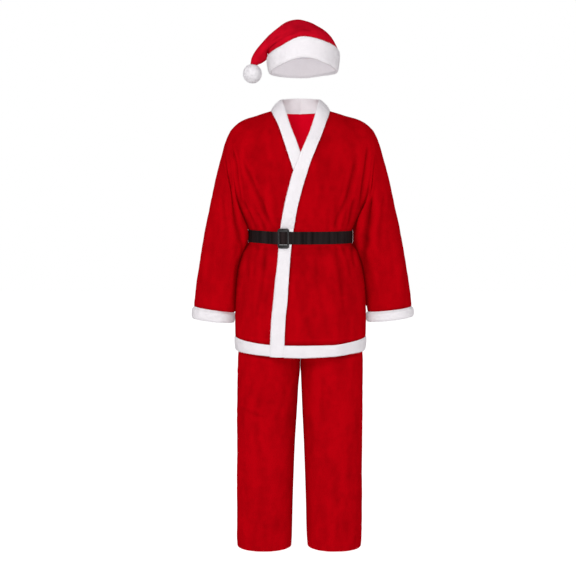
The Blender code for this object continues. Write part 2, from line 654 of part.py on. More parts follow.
def back_grid():
    """x and z of the back panel's grid, from the wearer's right side to the left side."""
    arm_steps = 4
    neck_steps = 8
    xs = []
    zs = []
    count = UPPER_STEPS + len(LOWER_LEVELS) + 1
    for j in range(count + 1):
        if j <= UPPER_STEPS:
            turn = math.pi * j / UPPER_STEPS
            mid = (ARMHOLE_TOP + ARMHOLE_LOW) / 2
            half = (ARMHOLE_TOP - ARMHOLE_LOW) / 2
            z_out = mid + half * math.cos(turn)
            x_out = float(armhole_x(z_out))
            z_in = 0.003 - (0.003 - ARMHOLE_LOW) * (1 - math.cos(turn)) / 2
        elif j < count:
            z_out = LOWER_LEVELS[j - UPPER_STEPS - 1]
            z_in = z_out
            x_out = float(trunk_half(z_out))
        else:
            x_out = float(trunk_half(-0.689))
            z_out = float(hem_line(x_out))
            z_in = float(hem_line(NECK_HALF))
        half_x = []
        half_z = []
        low = float(ramp(j, 1, UPPER_STEPS + 1))
        for i in range(neck_steps // 2 + 1):
            f = i / (neck_steps // 2)
            f = f * low + math.sin(f * math.pi / 2) * (1 - low)
            half_x.append(NECK_HALF * f)
            half_z.append(z_in)
        for i in range(1, arm_steps + 1):
            f = i / arm_steps
            f = math.sin(f * math.pi / 2) * low + f * (1 - low)
            half_x.append(NECK_HALF + (x_out - NECK_HALF) * f)
            half_z.append(z_in + (z_out - z_in) * f)
        for i in range(len(half_x)):
            x = half_x[i]
            if j < UPPER_STEPS:
                hold = 1 - ramp(j / UPPER_STEPS, 0.0, 0.7)
                if x > NECK_HALF:
                    f = (x - NECK_HALF) / (x_out - NECK_HALF)
                    first = 0.003 + (ARMHOLE_TOP - 0.003) * f
                    half_z[i] += (float(shoulder_line(x)) - first) * hold
                else:
                    half_z[i] += (neck_seam_z(x) - 0.003) * hold
            if j == count:
                half_z[i] = float(hem_line(x))
        row_x = [-v for v in half_x[:0:-1]] + half_x
        row_z = half_z[:0:-1] + half_z
        xs.append(row_x)
        zs.append(row_z)
    return np.array(xs), np.array(zs)


def neck_seam_z(x):
    """Height of the collar seam across the back of the neck."""
    across = min(1.0, abs(x) / NECK_HALF)
    return 0.003 - 0.004 * math.sqrt(max(0.0, 1 - across ** 2))


def skin_grid(side, xs, zs):
    return np.stack([xs, skin_y(side, xs, zs), zs], axis=2)


def clad(side, xs, zs, ghosts, low, top):
    """Two grids of points over the trunk: at its folded skin plus low, and plus top."""
    base = skin_grid(side, xs, zs)
    normals = outward(grid_normals(base, ghosts), base, (0, 0, -0.35))
    folded = base + normals * trunk_folds(side, xs, zs)[..., None]
    normals = outward(grid_normals(folded, ghosts), folded, (0, 0, -0.35))
    outer = folded + normals * np.broadcast_to(top, xs.shape)[..., None]
    inner = folded + normals * np.broadcast_to(low, xs.shape)[..., None]
    return outer, inner, normals


def part_armhole(outer, inner, column, hand):
    """Let the wall end at the armhole without leaning past it, and give the seam's points."""
    for j in range(UPPER_STEPS + 1):
        lean = inner[j, column] - outer[j, column]
        if lean[0] * hand > 0:
            lean[0] = 0.0
        lean = lean / max(1e-9, np.linalg.norm(lean)) * WALL
        inner[j, column] = outer[j, column] + lean


def build_front(name, hand):
    xs, zs = front_grid(hand)
    top = np.zeros(xs.shape)
    if hand > 0:
        top = over_rise(xs, zs) * (OVER_LIFT - 0.0016)
    outer, inner, normals = clad(-1, xs, zs, ("top", "end"), top - WALL, top)
    seam_rows = slice(UPPER_STEPS, None)
    outer[0, :, 1] = -SEAM / 2
    inner[0, :, 1] = -SEAM / 2
    outer[seam_rows, -1, 1] = -SEAM / 2
    inner[seam_rows, -1, 1] = -SEAM / 2
    part_armhole(outer, inner, -1, hand)
    inner[0, -1, 1] = -SEAM / 2
    inner[UPPER_STEPS, -1, 1] = -SEAM / 2
    sheet(name, outer, inner, RED)
    return {
        "arm": outer[: UPPER_STEPS + 1, -1].copy(),
        "wrap": (outer[:, 0].copy(), normals[:, 0].copy(), top[:, 0].copy()),
        "hem": (outer[-1].copy(), normals[-1].copy(), top[-1].copy()),
    }


def build_back():
    """The back, cut in two halves sewn together down the middle."""
    xs, zs = back_grid()
    outer, inner, normals = clad(1, xs, zs, ("top", "start", "end"), -WALL, 0.0)
    neck = np.abs(xs[0]) < NECK_HALF - 1e-6
    flat = outer[0, ~neck]
    flat[:, 1] = SEAM / 2
    outer[0, ~neck] = flat
    flat = inner[0, ~neck]
    flat[:, 1] = SEAM / 2
    inner[0, ~neck] = flat
    for column in (0, -1):
        outer[UPPER_STEPS:, column, 1] = SEAM / 2
        inner[UPPER_STEPS:, column, 1] = SEAM / 2
    part_armhole(outer, inner, 0, -1)
    part_armhole(outer, inner, -1, 1)
    for column in (0, -1):
        inner[0, column, 1] = SEAM / 2
        inner[UPPER_STEPS, column, 1] = SEAM / 2
    middle = outer.shape[1] // 2
    halves = (
        ("jacket_back_right", -1.0, slice(None, middle + 1), -1),
        ("jacket_back_left", 1.0, slice(middle, None), 0),
    )
    for name, hand, columns, seam in halves:
        half_outer = outer[:, columns].copy()
        half_inner = inner[:, columns].copy()
        half_outer[:, seam, 0] = hand * SEAM / 2
        half_inner[:, seam, 0] = hand * SEAM / 2
        sheet(name, half_outer, half_inner, RED)
    across = np.abs(xs[0]) < NECK_HALF + 1e-6
    return {
        "arm_right": outer[: UPPER_STEPS + 1, 0].copy(),
        "arm_left": outer[: UPPER_STEPS + 1, -1].copy(),
        "neck": outer[0, across].copy(),
        "hem": (outer[-1].copy(), normals[-1].copy(), np.zeros(outer.shape[1])),
    }


def ring_point(row, turn, hand, spread):
    """A point of an oval section: turn 0 outer, quarter front, half inner, three quarters back."""
    out_x, out_z, in_x, in_z, deep, back = row[:6]
    out_x = out_x + spread
    c = math.cos(turn)
    s = math.sin(turn)
    mid_x = (out_x + in_x) / 2
    mid_z = (out_z + in_z) / 2
    x = mid_x + (out_x - in_x) / 2 * c
    z = mid_z + (out_z - in_z) / 2 * c
    return (hand * x, back - deep * s, z)


def wrap_folds(rows, along, around):
    """Folds on a tube, over how far along it and how far around it (both 0..1)."""
    total = 0.0
    for a0, t0, a1, t1, height, width in rows:
        s = (along - a0) / (a1 - a0)
        if s <= 0 or s >= 1:
            continue
        away = around - (t0 + (t1 - t0) * s)
        total += height * math.sin(math.pi * s) ** 0.7 * math.exp(-0.5 * (away / width) ** 2)
    return total


def build_sleeve(name, hand, front_edge, back_edge):
    count = 2 * UPPER_STEPS
    spread = LEFT_SPREAD if hand > 0 else 0.0
    grid = np.zeros((len(SLEEVE_ROWS) + 1, count, 3))
    for i in range(count):
        if i == 0:
            p = (front_edge[0] + back_edge[0]) / 2
        elif i < UPPER_STEPS:
            p = front_edge[i]
        elif i == UPPER_STEPS:
            p = (front_edge[-1] + back_edge[-1]) / 2
        else:
            p = back_edge[count - i]
        grid[0, i] = p + np.array([hand * SEAM, 0, 0])
    for j, row in enumerate(SLEEVE_ROWS):
        along = (j + 1) / len(SLEEVE_ROWS)
        for i in range(count):
            turn = 2 * math.pi * i / count
            grid[j + 1, i] = ring_point(row, turn, hand, spread * along)
            front = row[6] * math.exp(-0.5 * ((turn - FRONT_LOBE_TURN) / FRONT_LOBE_WIDTH) ** 2)
            back = row[7] * math.exp(-0.5 * ((turn - BACK_LOBE_TURN) / BACK_LOBE_WIDTH) ** 2)
            grid[j + 1, i, 0] -= hand * (front + back)
    normals = sleeve_normals(grid)
    for j in range(len(SLEEVE_ROWS) + 1):
        along = j / len(SLEEVE_ROWS)
        for i in range(count):
            around = i / count
            grid[j, i] += normals[j, i] * wrap_folds(SLEEVE_FOLDS, along, around) * min(1.0, along * 8)
    normals = sleeve_normals(grid)
    inner = grid - normals * WALL
    for i in range(count):
        lean = inner[0, i] - grid[0, i]
        if lean[0] * hand < 0:
            lean[0] = 0.0
        lean = lean / max(1e-9, np.linalg.norm(lean)) * WALL
        inner[0, i] = grid[0, i] + lean
    halves = (
        ("front", list(range(UPPER_STEPS + 1)), -1.0),
        ("back", list(range(UPPER_STEPS, count)) + [0], 1.0),
    )
    for half, columns, way in halves:
        skin = grid[:, columns].copy()
        lining = inner[:, columns].copy()
        for points in (skin, lining):
            points[:, 0, 1] += way * SEAM / 2
            points[:, -1, 1] += way * SEAM / 2
        sheet(f"{name}_{half}", skin, lining, RED)


def sleeve_normals(grid):
    normals = grid_normals(grid, ("ring",))
    centres = grid.mean(axis=1, keepdims=True)
    if np.sum(normals * (grid - centres)) < 0:
        normals = -normals
    return normals


def build_cuff(name, hand):
    count = 24
    spread = LEFT_SPREAD if hand > 0 else 0.0
    rows = len(CUFF_ROWS)
    outer = np.zeros((rows, count, 3))
    inner = np.zeros((rows, count, 3))
    for j, row in enumerate(CUFF_ROWS):
        out_x, out_z, in_x, in_z, deep, wall = row
        rise = LEFT_CUFF_RISE * j / (rows - 1) if hand > 0 else 0.0
        out_z += rise
        in_z += rise / 2
        thin = (out_x - wall, out_z, in_x + wall, in_z, deep - wall, CUFF_SET_BACK)
        full = (out_x, out_z, in_x, in_z, deep, CUFF_SET_BACK)
        for i in range(count):
            turn = 2 * math.pi * i / count
            outer[j, i] = ring_point(full, turn, hand, spread)
            inner[j, i] = ring_point(thin, turn, hand, spread)
    sheet(name, outer, inner, WHITE, ring=True)


BAND_ACROSS = (0.0, 0.16, 0.5, 0.84, 1.0)
BAND_PUFF = (0.62, 0.90, 1.0, 0.90, 0.55)
LONGEST_STEP = 0.026


def band_rings(middle, normals, low, thick):
    """Full rounded sections of a plush band, one for each station of the grid."""
    rings = []
    for j in range(middle.shape[0]):
        ring = []
        for i in range(len(BAND_ACROSS)):
            ring.append(middle[j, i] + normals[j, i] * (low[j] + thick[j] * BAND_PUFF[i]))
        for i in (4, 2, 0):
            rise = 0.0 if i == 2 else 0.12
            ring.append(middle[j, i] + normals[j, i] * (low[j] + thick[j] * rise))
        rings.append(ring)
    return np.array(rings)


def collar_grid(neck):
    """The collar's middle surface, from the wearer's right shoulder round the back to the left."""
    steps = 2 * (len(neck) - 1)
    grid = np.zeros((steps + 1, len(BAND_ACROSS), 3))
    back = float(neck[:, 1].max())
    for j in range(steps + 1):
        turn = math.pi * (j / steps - 0.5)
        k = min(j // 2, len(neck) - 2)
        seam = neck[k] + (neck[k + 1] - neck[k]) * (j / 2 - k)
        free_x = NECK_ROWS[0][2] * math.sin(turn)
        free_y = (back - COLLAR_BACK_LEAN) * math.cos(turn)
        free_z = NECK_ROWS[0][4] + 0.009 * math.cos(turn)
        toward = np.array([-math.sin(turn), -math.cos(turn), 0.7])
        seam = seam + toward / np.linalg.norm(toward) * SEAM * 1.4
        free = np.array([free_x, free_y, free_z])
        for i, w in enumerate(BAND_ACROSS):
            bow = 0.0030 * math.sin(math.pi * w)
            out = np.array([math.sin(turn), math.cos(turn), 0.0])
            grid[j, i] = seam + (free - seam) * w + out * bow
    grid[0, :, 1] = SEAM / 2
    grid[-1, :, 1] = SEAM / 2
    return grid


neck_free_x = pchip([(row[1], row[2]) for row in NECK_ROWS], 1)
neck_free_y = pchip([(row[1], row[3]) for row in NECK_ROWS], 1)
neck_free_z = pchip([(row[1], row[4]) for row in NECK_ROWS], 1)


def free_point(hand, z):
    """Where the free edge lies across the band from its seam at height z, and how far it stands up."""
    seam = over_seam if hand > 0 else under_seam
    free = over_free if hand > 0 else under_free
    g = float(seam(z + 0.004) - seam(z - 0.004)) / 0.008
    low_z = z + 0.040 * abs(g) / math.sqrt(1 + g * g)
    low_x = float(free(low_z))
    low = np.array([low_x, float(skin_y(-1, np.array(low_x), np.array(low_z))), low_z])
    shift = 0.0 if hand > 0 else -0.0020 * float(ramp(-z, 0.0, 0.045))
    up = np.array([hand * (float(neck_free_x(z)) + shift), float(neck_free_y(z)), float(neck_free_z(z))])
    stand = 1 - float(ramp(-z, 0.030, 0.062))
    return low * (1 - stand) + up * stand, stand


def band_grid(hand, wrap):
    """A front band's middle surface, following the panel's wrap edge and on down past its hem."""
    points, edge_normals, lifts = wrap
    seams = []
    for k in range(len(points) - 1):
        gap = float(np.linalg.norm(points[k + 1] - points[k]))
        parts = 2 if gap > LONGEST_STEP or k < 5 else 1
        for part in range(parts):
            f = part / parts
            point = points[k] * (1 - f) + points[k + 1] * f
            normal = edge_normals[k] * (1 - f) + edge_normals[k + 1] * f
            normal = normal / np.linalg.norm(normal)
            lift = lifts[k] * (1 - f) + lifts[k + 1] * f
            seams.append((point - normal * lift, normal))
    seams.append((points[-1] - edge_normals[-1] * lifts[-1], edge_normals[-1]))
    seam_x = over_seam if hand > 0 else under_seam
    for z in (-0.718, -0.7365):
        x = float(seam_x(z)) + hand * SEAM / 2
        seams.append((np.array([x, float(skin_y(-1, np.array(x), np.array(z))), z]), seams[-1][1]))
    grid = np.zeros((len(seams), len(BAND_ACROSS), 3))
    for j, (seam, normal) in enumerate(seams):
        z = float(seam[2])
        free, stand = free_point(hand, z)
        for i, w in enumerate(BAND_ACROSS):
            x = seam[0] + (free[0] - seam[0]) * w
            zz = z + (free[2] - z) * w
            if j == len(seams) - 1:
                zz = float(hem_low(abs(x)))
            on_skin = float(skin_y(-1, np.array(x), np.array(zz)))
            straight = seam[1] + (free[1] - seam[1]) * w - 0.0030 * math.sin(math.pi * w)
            grid[j, i] = (x, on_skin * (1 - stand) + straight * stand, zz)
        grid[j, 0] = seam + np.array([-hand * SEAM, 0, 0])
    return grid, np.array([normal for _, normal in seams])


def build_bands(neck, over_wrap, under_wrap):
    grid = collar_grid(neck)
    normals = outward(grid_normals(grid, ("top", "low")), grid, (0, 0, 0.02))
    count = grid.shape[0]
    rings = band_rings(grid, normals, [BAND_LOW] * count, [BAND_THICK] * count)
    rings[0, :, 1] = SEAM / 2
    rings[-1, :, 1] = SEAM / 2
    tube("collar_band", rings, WHITE)
    for name, hand, wrap in (("front_band_left", 1.0, over_wrap), ("front_band_right", -1.0, under_wrap)):
        grid, edge_normals = band_grid(hand, wrap)
        grid[0, :, 1] = -SEAM / 2
        normals = outward(grid_normals(grid, ("top",)), grid, (0, 0, -0.35))
        folds = trunk_folds(-1, grid[..., 0], grid[..., 2])
        folds[:, 0] = 0.0
        grid = grid + normals * folds[..., None]
        blend = np.ones(grid.shape[0])[:, None]
        blend[0] = 0.0
        normals[:, 0] = edge_normals * blend + normals[:, 0] * (1 - blend)
        low = []
        thick = []
        for j in range(grid.shape[0]):
            z = float(grid[j, 2, 2])
            pressed = 1 - float(ramp(abs(z - BELT_MID), 0.030, 0.050))
            if hand > 0:
                down = float(ramp(-z, -CROSS_TOP, -CROSS_FULL))
                low.append(BAND_LOW + down * OVER_LIFT)
                thick.append(BAND_THICK * (1 - pressed) + 0.0016 * pressed)
            else:
                low.append(BAND_LOW + 0.0015 * pressed)
                thick.append((BAND_THICK - 0.0004) * (1 - pressed) + 0.0030 * pressed)
        rings = band_rings(grid, normals, low, thick)
        rings[0, :, 1] = -SEAM / 2
        tube(name, rings, WHITE)


def build_hem(name, side, hem, hand, ends):
    """A hem trim hung from the lower edge of a panel: its section has five rows and a flat back."""
    points, edge_normals, lifts = hem
    top = points - edge_normals * lifts[:, None]
    columns = len(points)
    grid = np.zeros((len(BAND_ACROSS), columns, 3))
    seam = over_seam if hand > 0 else under_seam
    for i in range(columns):
        x0 = float(top[i, 0])
        z0 = float(top[i, 2])
        half0 = float(trunk_half(z0))
        for j, share in enumerate(BAND_ACROSS):
            z = z0 - SEAM + (float(hem_low(min(abs(x0), 0.2))) - z0 + SEAM) * share
            pull = (float(trunk_half(z)) / half0 - 1) * (abs(x0) / half0) ** 2
            x = x0 * (1 + pull)
            if hand:
                x += (float(seam(z)) - float(seam(z0))) * (1 - i / (columns - 1)) ** 2
            grid[j, i] = (x, float(skin_y(side, np.array(x), np.array(z))), z)
        grid[0, i] = top[i] + np.array([0, 0, -SEAM])
    normals = outward(grid_normals(grid, ends), grid, (0, 0, -0.71))
    normals[0] = edge_normals
    rings = []
    for i in range(columns):
        rise = 0.0
        if hand > 0:
            rise = float(over_rise(grid[0, i, 0], grid[0, i, 2])) * OVER_LIFT
        low = BAND_LOW + rise
        thick = BAND_THICK if hand > 0 else BAND_THICK - 0.0004
        ring = []
        for j in range(len(BAND_ACROSS)):
            ring.append(grid[j, i] + normals[j, i] * (low + thick * BAND_PUFF[j]))
        for j in (4, 2, 0):
            ring.append(grid[j, i] + normals[j, i] * (low + thick * (0.0 if j == 2 else 0.12)))
        rings.append(ring)
    rings = np.array(rings)
    if "start" in ends:
        rings[0, :, 1] = side * SEAM / 2
    if "end" in ends:
        rings[-1, :, 1] = side * SEAM / 2
    tube(name, rings, WHITE)


def waist_point(x, side, stand, z):
    """A point off the cinched waist, at x on the front (side -1) or the back (side +1)."""
    deep = BELT_F if side < 0 else BELT_B
    share = max(0.0, 1 - (abs(x) / BELT_W) ** SECTION_POWER)
    y = deep * share ** (1 / SECTION_POWER)
    nx = abs(x) ** (SECTION_POWER - 1) / BELT_W ** SECTION_POWER
    ny = y ** (SECTION_POWER - 1) / deep ** SECTION_POWER
    length = math.hypot(nx, ny)
    sign = math.copysign(1.0, x) if x else 0.0
    return np.array([x + sign * nx / length * stand, side * (y + ny / length * stand), z])


def build_belt():
    path = []
    for x, stand in BELT_OVER_ROWS:
        path.append((x, -1, stand))
    for degrees in range(42, -1, -6):
        path.append((-BELT_W * math.cos(math.radians(degrees)) ** (2 / SECTION_POWER), -1, BELT_STAND))
    for degrees in range(6, 180, 6):
        c = -math.cos(math.radians(degrees))
        path.append((BELT_W * math.copysign(abs(c) ** (2 / SECTION_POWER), c), 1, BELT_STAND))
    for degrees in range(0, 37, 6):
        path.append((BELT_W * math.cos(math.radians(degrees)) ** (2 / SECTION_POWER), -1, BELT_STAND))
    for x, stand in BELT_UNDER_ROWS:
        path.append((x, -1, stand))
    rings = []
    for x, side, stand in path:
        low = BELT_MID - BELT_HALF
        top = BELT_MID + BELT_HALF
        rings.append((
            waist_point(x, side, stand, low),
            waist_point(x, side, stand, top),
            waist_point(x, side, stand + BELT_THICK, top),
            waist_point(x, side, stand + BELT_THICK, low),
        ))
    tube("belt_strap", np.array(rings), BLACK)


def build_buckle():
    """A flat frame with two slots and a set-back centre bar, bent to the waist."""
    cuts_x = (-0.0165, -0.0110, -0.0020, 0.0020, 0.0110, 0.0165)
    cuts_z = (-0.0312, -0.0245, -0.0204, 0.0204, 0.0222, 0.0288)
    verts = []
    index = {}
    for layer in (0, 1):
        for r, dz in enumerate(cuts_z):
            for c, dx in enumerate(cuts_x):
                stand = 0.0097 if layer == 0 else 0.0128
                if layer == 1 and (c in (0, 5) or r in (0, 5)):
                    stand = 0.0120
                if c in (2, 3) and r in (2, 3):
                    stand = 0.0079 if layer == 0 else 0.0099
                index[(layer, r, c)] = len(verts)
                verts.append(tuple(waist_point(BUCKLE_X + dx, -1, stand, BELT_MID + dz)))
    cells = set()
    for r in range(5):
        for c in range(5):
            if r in (0, 4) or c in (0, 2, 4):
                cells.add((r, c))
    faces = []
    for r, c in cells:
        for layer in (0, 1):
            a = index[(layer, r, c)]
            b = index[(layer, r, c + 1)]
            d = index[(layer, r + 1, c + 1)]
            e = index[(layer, r + 1, c)]
            faces.append((a, b, d, e) if layer == 1 else (e, d, b, a))
        sides = (
            ((r - 1, c), (r, c), (r, c + 1)),
            ((r, c + 1), (r, c + 1), (r + 1, c + 1)),
            ((r + 1, c), (r + 1, c + 1), (r + 1, c)),
            ((r, c - 1), (r + 1, c), (r, c)),
        )
        for neighbour, p, q in sides:
            if neighbour not in cells:
                faces.append((
                    index[(0, p[0], p[1])],
                    index[(0, q[0], q[1])],
                    index[(1, q[0], q[1])],
                    index[(1, p[0], p[1])],
                ))
    add_object("belt_buckle", verts, faces, DARK)


def build_loop(name, hand):
    """A thin loop over the belt at a side seam, its ends turned in to the cloth."""
    stand = BELT_STAND + BELT_THICK + SEAM
    half = 0.0020
    thick = 0.0010
    line = (
        (BELT_W + SEAM, BELT_HALF + 0.0014),
        (BELT_W + stand, BELT_HALF + 0.0003),
        (BELT_W + stand, -BELT_HALF - 0.0003),
        (BELT_W + SEAM, -BELT_HALF - 0.0014),
    )
    rings = []
    for k, (x, dz) in enumerate(line):
        z = BELT_MID + dz
        out = z + (0.0009 if k in (1, 0) else -0.0009)
        rings.append((
            (hand * x, -half, z),
            (hand * x, half, z),
            (hand * (x + thick), half, out if k in (1, 2) else z),
            (hand * (x + thick), -half, out if k in (1, 2) else z),
        ))
    tube(name, np.array(rings), THREAD)


leg_front = pchip(LEG_ROWS, 5)
leg_back = pchip(LEG_ROWS, 6)
LEG_LEVELS = (-0.430, -0.465, -0.505, -0.550, -0.595, -0.640, -0.680, -0.710, -0.730, -0.742,
              -0.750, -0.775, -0.820, -0.880, -0.950, -1.020, -1.090, -1.160, -1.230, -1.295,
              -1.3530)
LEG_COLUMNS = 18


def leg_point(hand, outer, inner, z, share):
    """share 0 is the front edge, a half the outer side, 1 the back edge."""
    out_x = float(outer(z))
    in_x = float(inner(z))
    front = float(leg_front(z))
    back = float(leg_back(z))
    turn = math.pi * (0.5 - share)
    power = 2 / 2.3
    hip_x = out_x * abs(math.cos(turn)) ** power
    deep = front if turn > 0 else back
    hip_y = -math.copysign(deep * abs(math.sin(turn)) ** power, turn)
    turn = 2 * math.pi * (0.5 - share)
    mid = (out_x + in_x) / 2
    half = (out_x - in_x) / 2
    power = 2 / 2.15
    c = math.cos(turn)
    s = math.sin(turn)
    leg_x = mid + half * math.copysign(abs(c) ** power, c)
    deep = front if s > 0 else back
    leg_y = -math.copysign(deep * abs(s) ** power, s)
    along = min(1.0, max(0.0, (RISE_START - z) / (RISE_START - CROTCH)))
    mix = 1 - math.sqrt(max(0.0, 1 - along ** 2))
    x = hip_x + (leg_x - hip_x) * mix
    y = hip_y + (leg_y - hip_y) * mix
    return (hand * max(x, SEAM / 2), y, z)


def build_leg(name, hand):
    outer_x = pchip(LEG_ROWS, 3 if hand > 0 else 1)
    inner_x = pchip(LEG_ROWS, 4 if hand > 0 else 2)
    folds = LEFT_LEG_FOLDS if hand > 0 else RIGHT_LEG_FOLDS
    rows = len(LEG_LEVELS)
    grid = np.zeros((rows, LEG_COLUMNS + 1, 3))
    for j, z in enumerate(LEG_LEVELS):
        for i in range(LEG_COLUMNS + 1):
            grid[j, i] = leg_point(hand, outer_x, inner_x, z, i / LEG_COLUMNS)
    normals = outward(grid_normals(grid), grid, (hand * 0.10, 0, -0.9))
    for j, z in enumerate(LEG_LEVELS):
        for i in range(LEG_COLUMNS + 1):
            share = i / LEG_COLUMNS
            edge = float(ramp(min(share, 1 - share), 0.0, 0.08))
            height = 0.0
            for z0, s0, z1, s1, high, width in folds:
                s = (z - z0) / (z1 - z0)
                if 0 < s < 1:
                    away = share - (s0 + (s1 - s0) * s)
                    height += high * math.sin(math.pi * s) ** 0.7 * math.exp(-0.5 * (away / width) ** 2)
            grid[j, i] += normals[j, i] * height * edge
    normals = outward(grid_normals(grid), grid, (hand * 0.10, 0, -0.9))
    inner = grid - normals * WALL
    for j, z in enumerate(LEG_LEVELS):
        for i, sign in ((0, -1.0), (LEG_COLUMNS, 1.0)):
            if z > CROTCH:
                grid[j, i, 0] = hand * SEAM / 2
                lean = inner[j, i] - grid[j, i]
                lean[0] = 0.0
                lean[1] = -sign * abs(lean[1])
                lean = lean / max(1e-9, np.linalg.norm(lean)) * WALL
                inner[j, i] = grid[j, i] + lean
                if grid[j, i, 1] * sign < 0.004:
                    grid[j, i, 1] = sign * 0.004
                    inner[j, i, 1] = sign * 0.002
            else:
                grid[j, i, 1] = sign * SEAM / 2
                inner[j, i] = grid[j, i] + np.array([hand * WALL, 0, 0])
    sheet(name, grid, inner, RED)


def build_waistband():
    """The elastic casing at the top of the trousers, held in by the cinched jacket."""
    levels = (-0.3930, -0.4296)
    count = 32
    outer = np.zeros((len(levels), count, 3))
    inner = np.zeros((len(levels), count, 3))
    for j, z in enumerate(levels):
        for i in range(count):
            turn = 2 * math.pi * i / count
            c = math.cos(turn)
            x = BELT_W * math.copysign(abs(c) ** (2 / SECTION_POWER), c)
            side = -1 if math.sin(turn) < 0 else 1
            outer[j, i] = waist_point(x, side, -WALL - 0.0014, z)
            inner[j, i] = waist_point(x, side, -WALL - 0.0042, z)
    sheet("waistband", outer, inner, RED, ring=True)


HAT_TURNS = 24
RIM_MID_X = 0.0075
RIM_HALF_X = 0.1070
RIM_HALF_Y = 0.1040
band_low_z = pchip(BAND_RIM_ROWS, 1)
band_top_z = pchip(BAND_RIM_ROWS, 2)


def build_crown():
    """The cone: sewn on the band's top edge, bent over to the wearer's right, closed at its tip."""
    count = HAT_TURNS
    rows = len(CROWN_ROWS) + 1
    grid = np.zeros((rows, count, 3))
    for i in range(count):
        turn = 2 * math.pi * i / count
        c = math.cos(turn)
        s = math.sin(turn)
        z = float(band_top_z(360.0 - 360.0 * i / count)) + SEAM
        grid[0, i] = (RIM_MID_X + (RIM_HALF_X + 0.0008) * c, -(RIM_HALF_Y + 0.0008) * s, z)
        for j, row in enumerate(CROWN_ROWS):
            grid[j + 1, i] = ring_point(row, turn, 1.0, 0.0)
            grid[j + 1, i, 2] += row[6] * s + row[7] * s * s
    normals = sleeve_normals(grid)
    for j in range(rows):
        along = j / (rows - 1)
        for i in range(count):
            grid[j, i] += normals[j, i] * wrap_folds(CROWN_FOLDS, along, i / count)
    normals = sleeve_normals(grid)
    inner = grid - normals * CROWN_WALL
    for i in range(count):
        turn = 2 * math.pi * i / count
        toward = np.array([-math.cos(turn), math.sin(turn), 0.0])
        inner[0, i] = grid[0, i] + toward * CROWN_WALL
    verts = [tuple(p) for p in grid.reshape(-1, 3)] + [tuple(p) for p in inner.reshape(-1, 3)]
    back = rows * count
    faces = []
    for j in range(rows - 1):
        for i in range(count):
            k = (i + 1) % count
            a = j * count + i
            b = j * count + k
            c = (j + 1) * count + k
            d = (j + 1) * count + i
            faces.append((a, b, c))
            faces.append((a, c, d))
            faces.append((back + a, back + c, back + b))
            faces.append((back + a, back + d, back + c))
    low = (rows - 1) * count
    tip_z = POMPOM_CENTRE[2] + POMPOM_CORE + 0.0002 + SEAM
    verts.append((POMPOM_CENTRE[0], POMPOM_CENTRE[1], tip_z))
    verts.append((POMPOM_CENTRE[0], POMPOM_CENTRE[1], tip_z + CROWN_WALL))
    for i in range(count):
        k = (i + 1) % count
        faces.append((k, i, back + i, back + k))
        faces.append((low + i, low + k, len(verts) - 2))
        faces.append((back + low + k, back + low + i, len(verts) - 1))
    add_object("hat_crown", verts, faces, RED)


def build_hat_band():
    """The plush band: a full rounded section round the brow, arched up at the front."""
    count = HAT_TURNS
    shares = (0.0, 0.12, 0.5, 0.86, 1.0)
    swell = (0.30, 0.85, 1.0, 0.80, 0.25)
    rings = []
    for i in range(count):
        degrees = 360.0 * i / count
        turn = math.radians(degrees)
        c = math.cos(turn)
        s = -math.sin(turn)
        low = float(band_low_z(360.0 - degrees))
        top = float(band_top_z(360.0 - degrees))
        ring = []
        for share, fat in zip(shares, swell):
            z = low + (top - low) * share
            mid_x = RIM_MID_X + 0.001 * (1 - share)
            half_x = RIM_HALF_X - 0.0070 * (1 - share)
            half_y = RIM_HALF_Y - 0.0010 * (1 - share)
            ring.append((mid_x + (half_x + 0.0062 * fat) * c, (half_y + 0.0062 * fat) * s, z))
        for share, fat in ((1.0, 0.0), (0.5, 0.35), (0.0, 0.0)):
            z = low + (top - low) * share
            mid_x = RIM_MID_X + 0.001 * (1 - share)
            half_x = RIM_HALF_X - 0.0018 - 0.0070 * (1 - share)
            half_y = RIM_HALF_Y - 0.0018 - 0.0010 * (1 - share)
            ring.append((mid_x + (half_x - 0.004 * fat) * c, (half_y - 0.004 * fat) * s, z))
        rings.append(ring)
    tube("hat_band", np.array(rings), WHITE, closed_path=True)


def build_pompom():
    """A ball of short tufts: a cube's grid rounded to a sphere, each cell drawn out to a point."""
    steps = 6
    centre = np.array(POMPOM_CENTRE)
    lookup = {}
    verts = []
    faces = []
    axes = ((0, 1, 2), (1, 2, 0), (2, 0, 1))

    def corner(point):
        key = tuple(round(float(v), 6) for v in point)
        if key not in lookup:
            lookup[key] = len(verts)
            bent = np.tan(np.array(point) * math.pi / 4)
            verts.append(tuple(centre + POMPOM_CORE * bent / np.linalg.norm(bent)))
        return lookup[key]

    number = 0
    for u, v, w in axes:
        for sign in (-1.0, 1.0):
            for i in range(steps):
                for j in range(steps):
                    quad = []
                    for di, dj in ((0, 0), (1, 0), (1, 1), (0, 1)):
                        point = [0.0, 0.0, 0.0]
                        point[u] = -1 + 2 * (i + di) / steps
                        point[v] = -1 + 2 * (j + dj) / steps
                        point[w] = sign
                        quad.append(corner(point))
                    if sign < 0:
                        quad.reverse()
                    middle = np.mean([verts[q] for q in quad], axis=0) - centre
                    middle = middle / np.linalg.norm(middle)
                    number += 1
                    tuft = POMPOM_TUFT * (0.85 + 0.15 * math.sin(number * 2.4))
                    if middle[2] > 0.90:
                        tuft = 0.0002
                    verts.append(tuple(centre + middle * (POMPOM_CORE + tuft)))
                    peak = len(verts) - 1
                    for k in range(4):
                        faces.append((quad[k], quad[(k + 1) % 4], peak))
    add_object("pompom", verts, faces, WHITE)


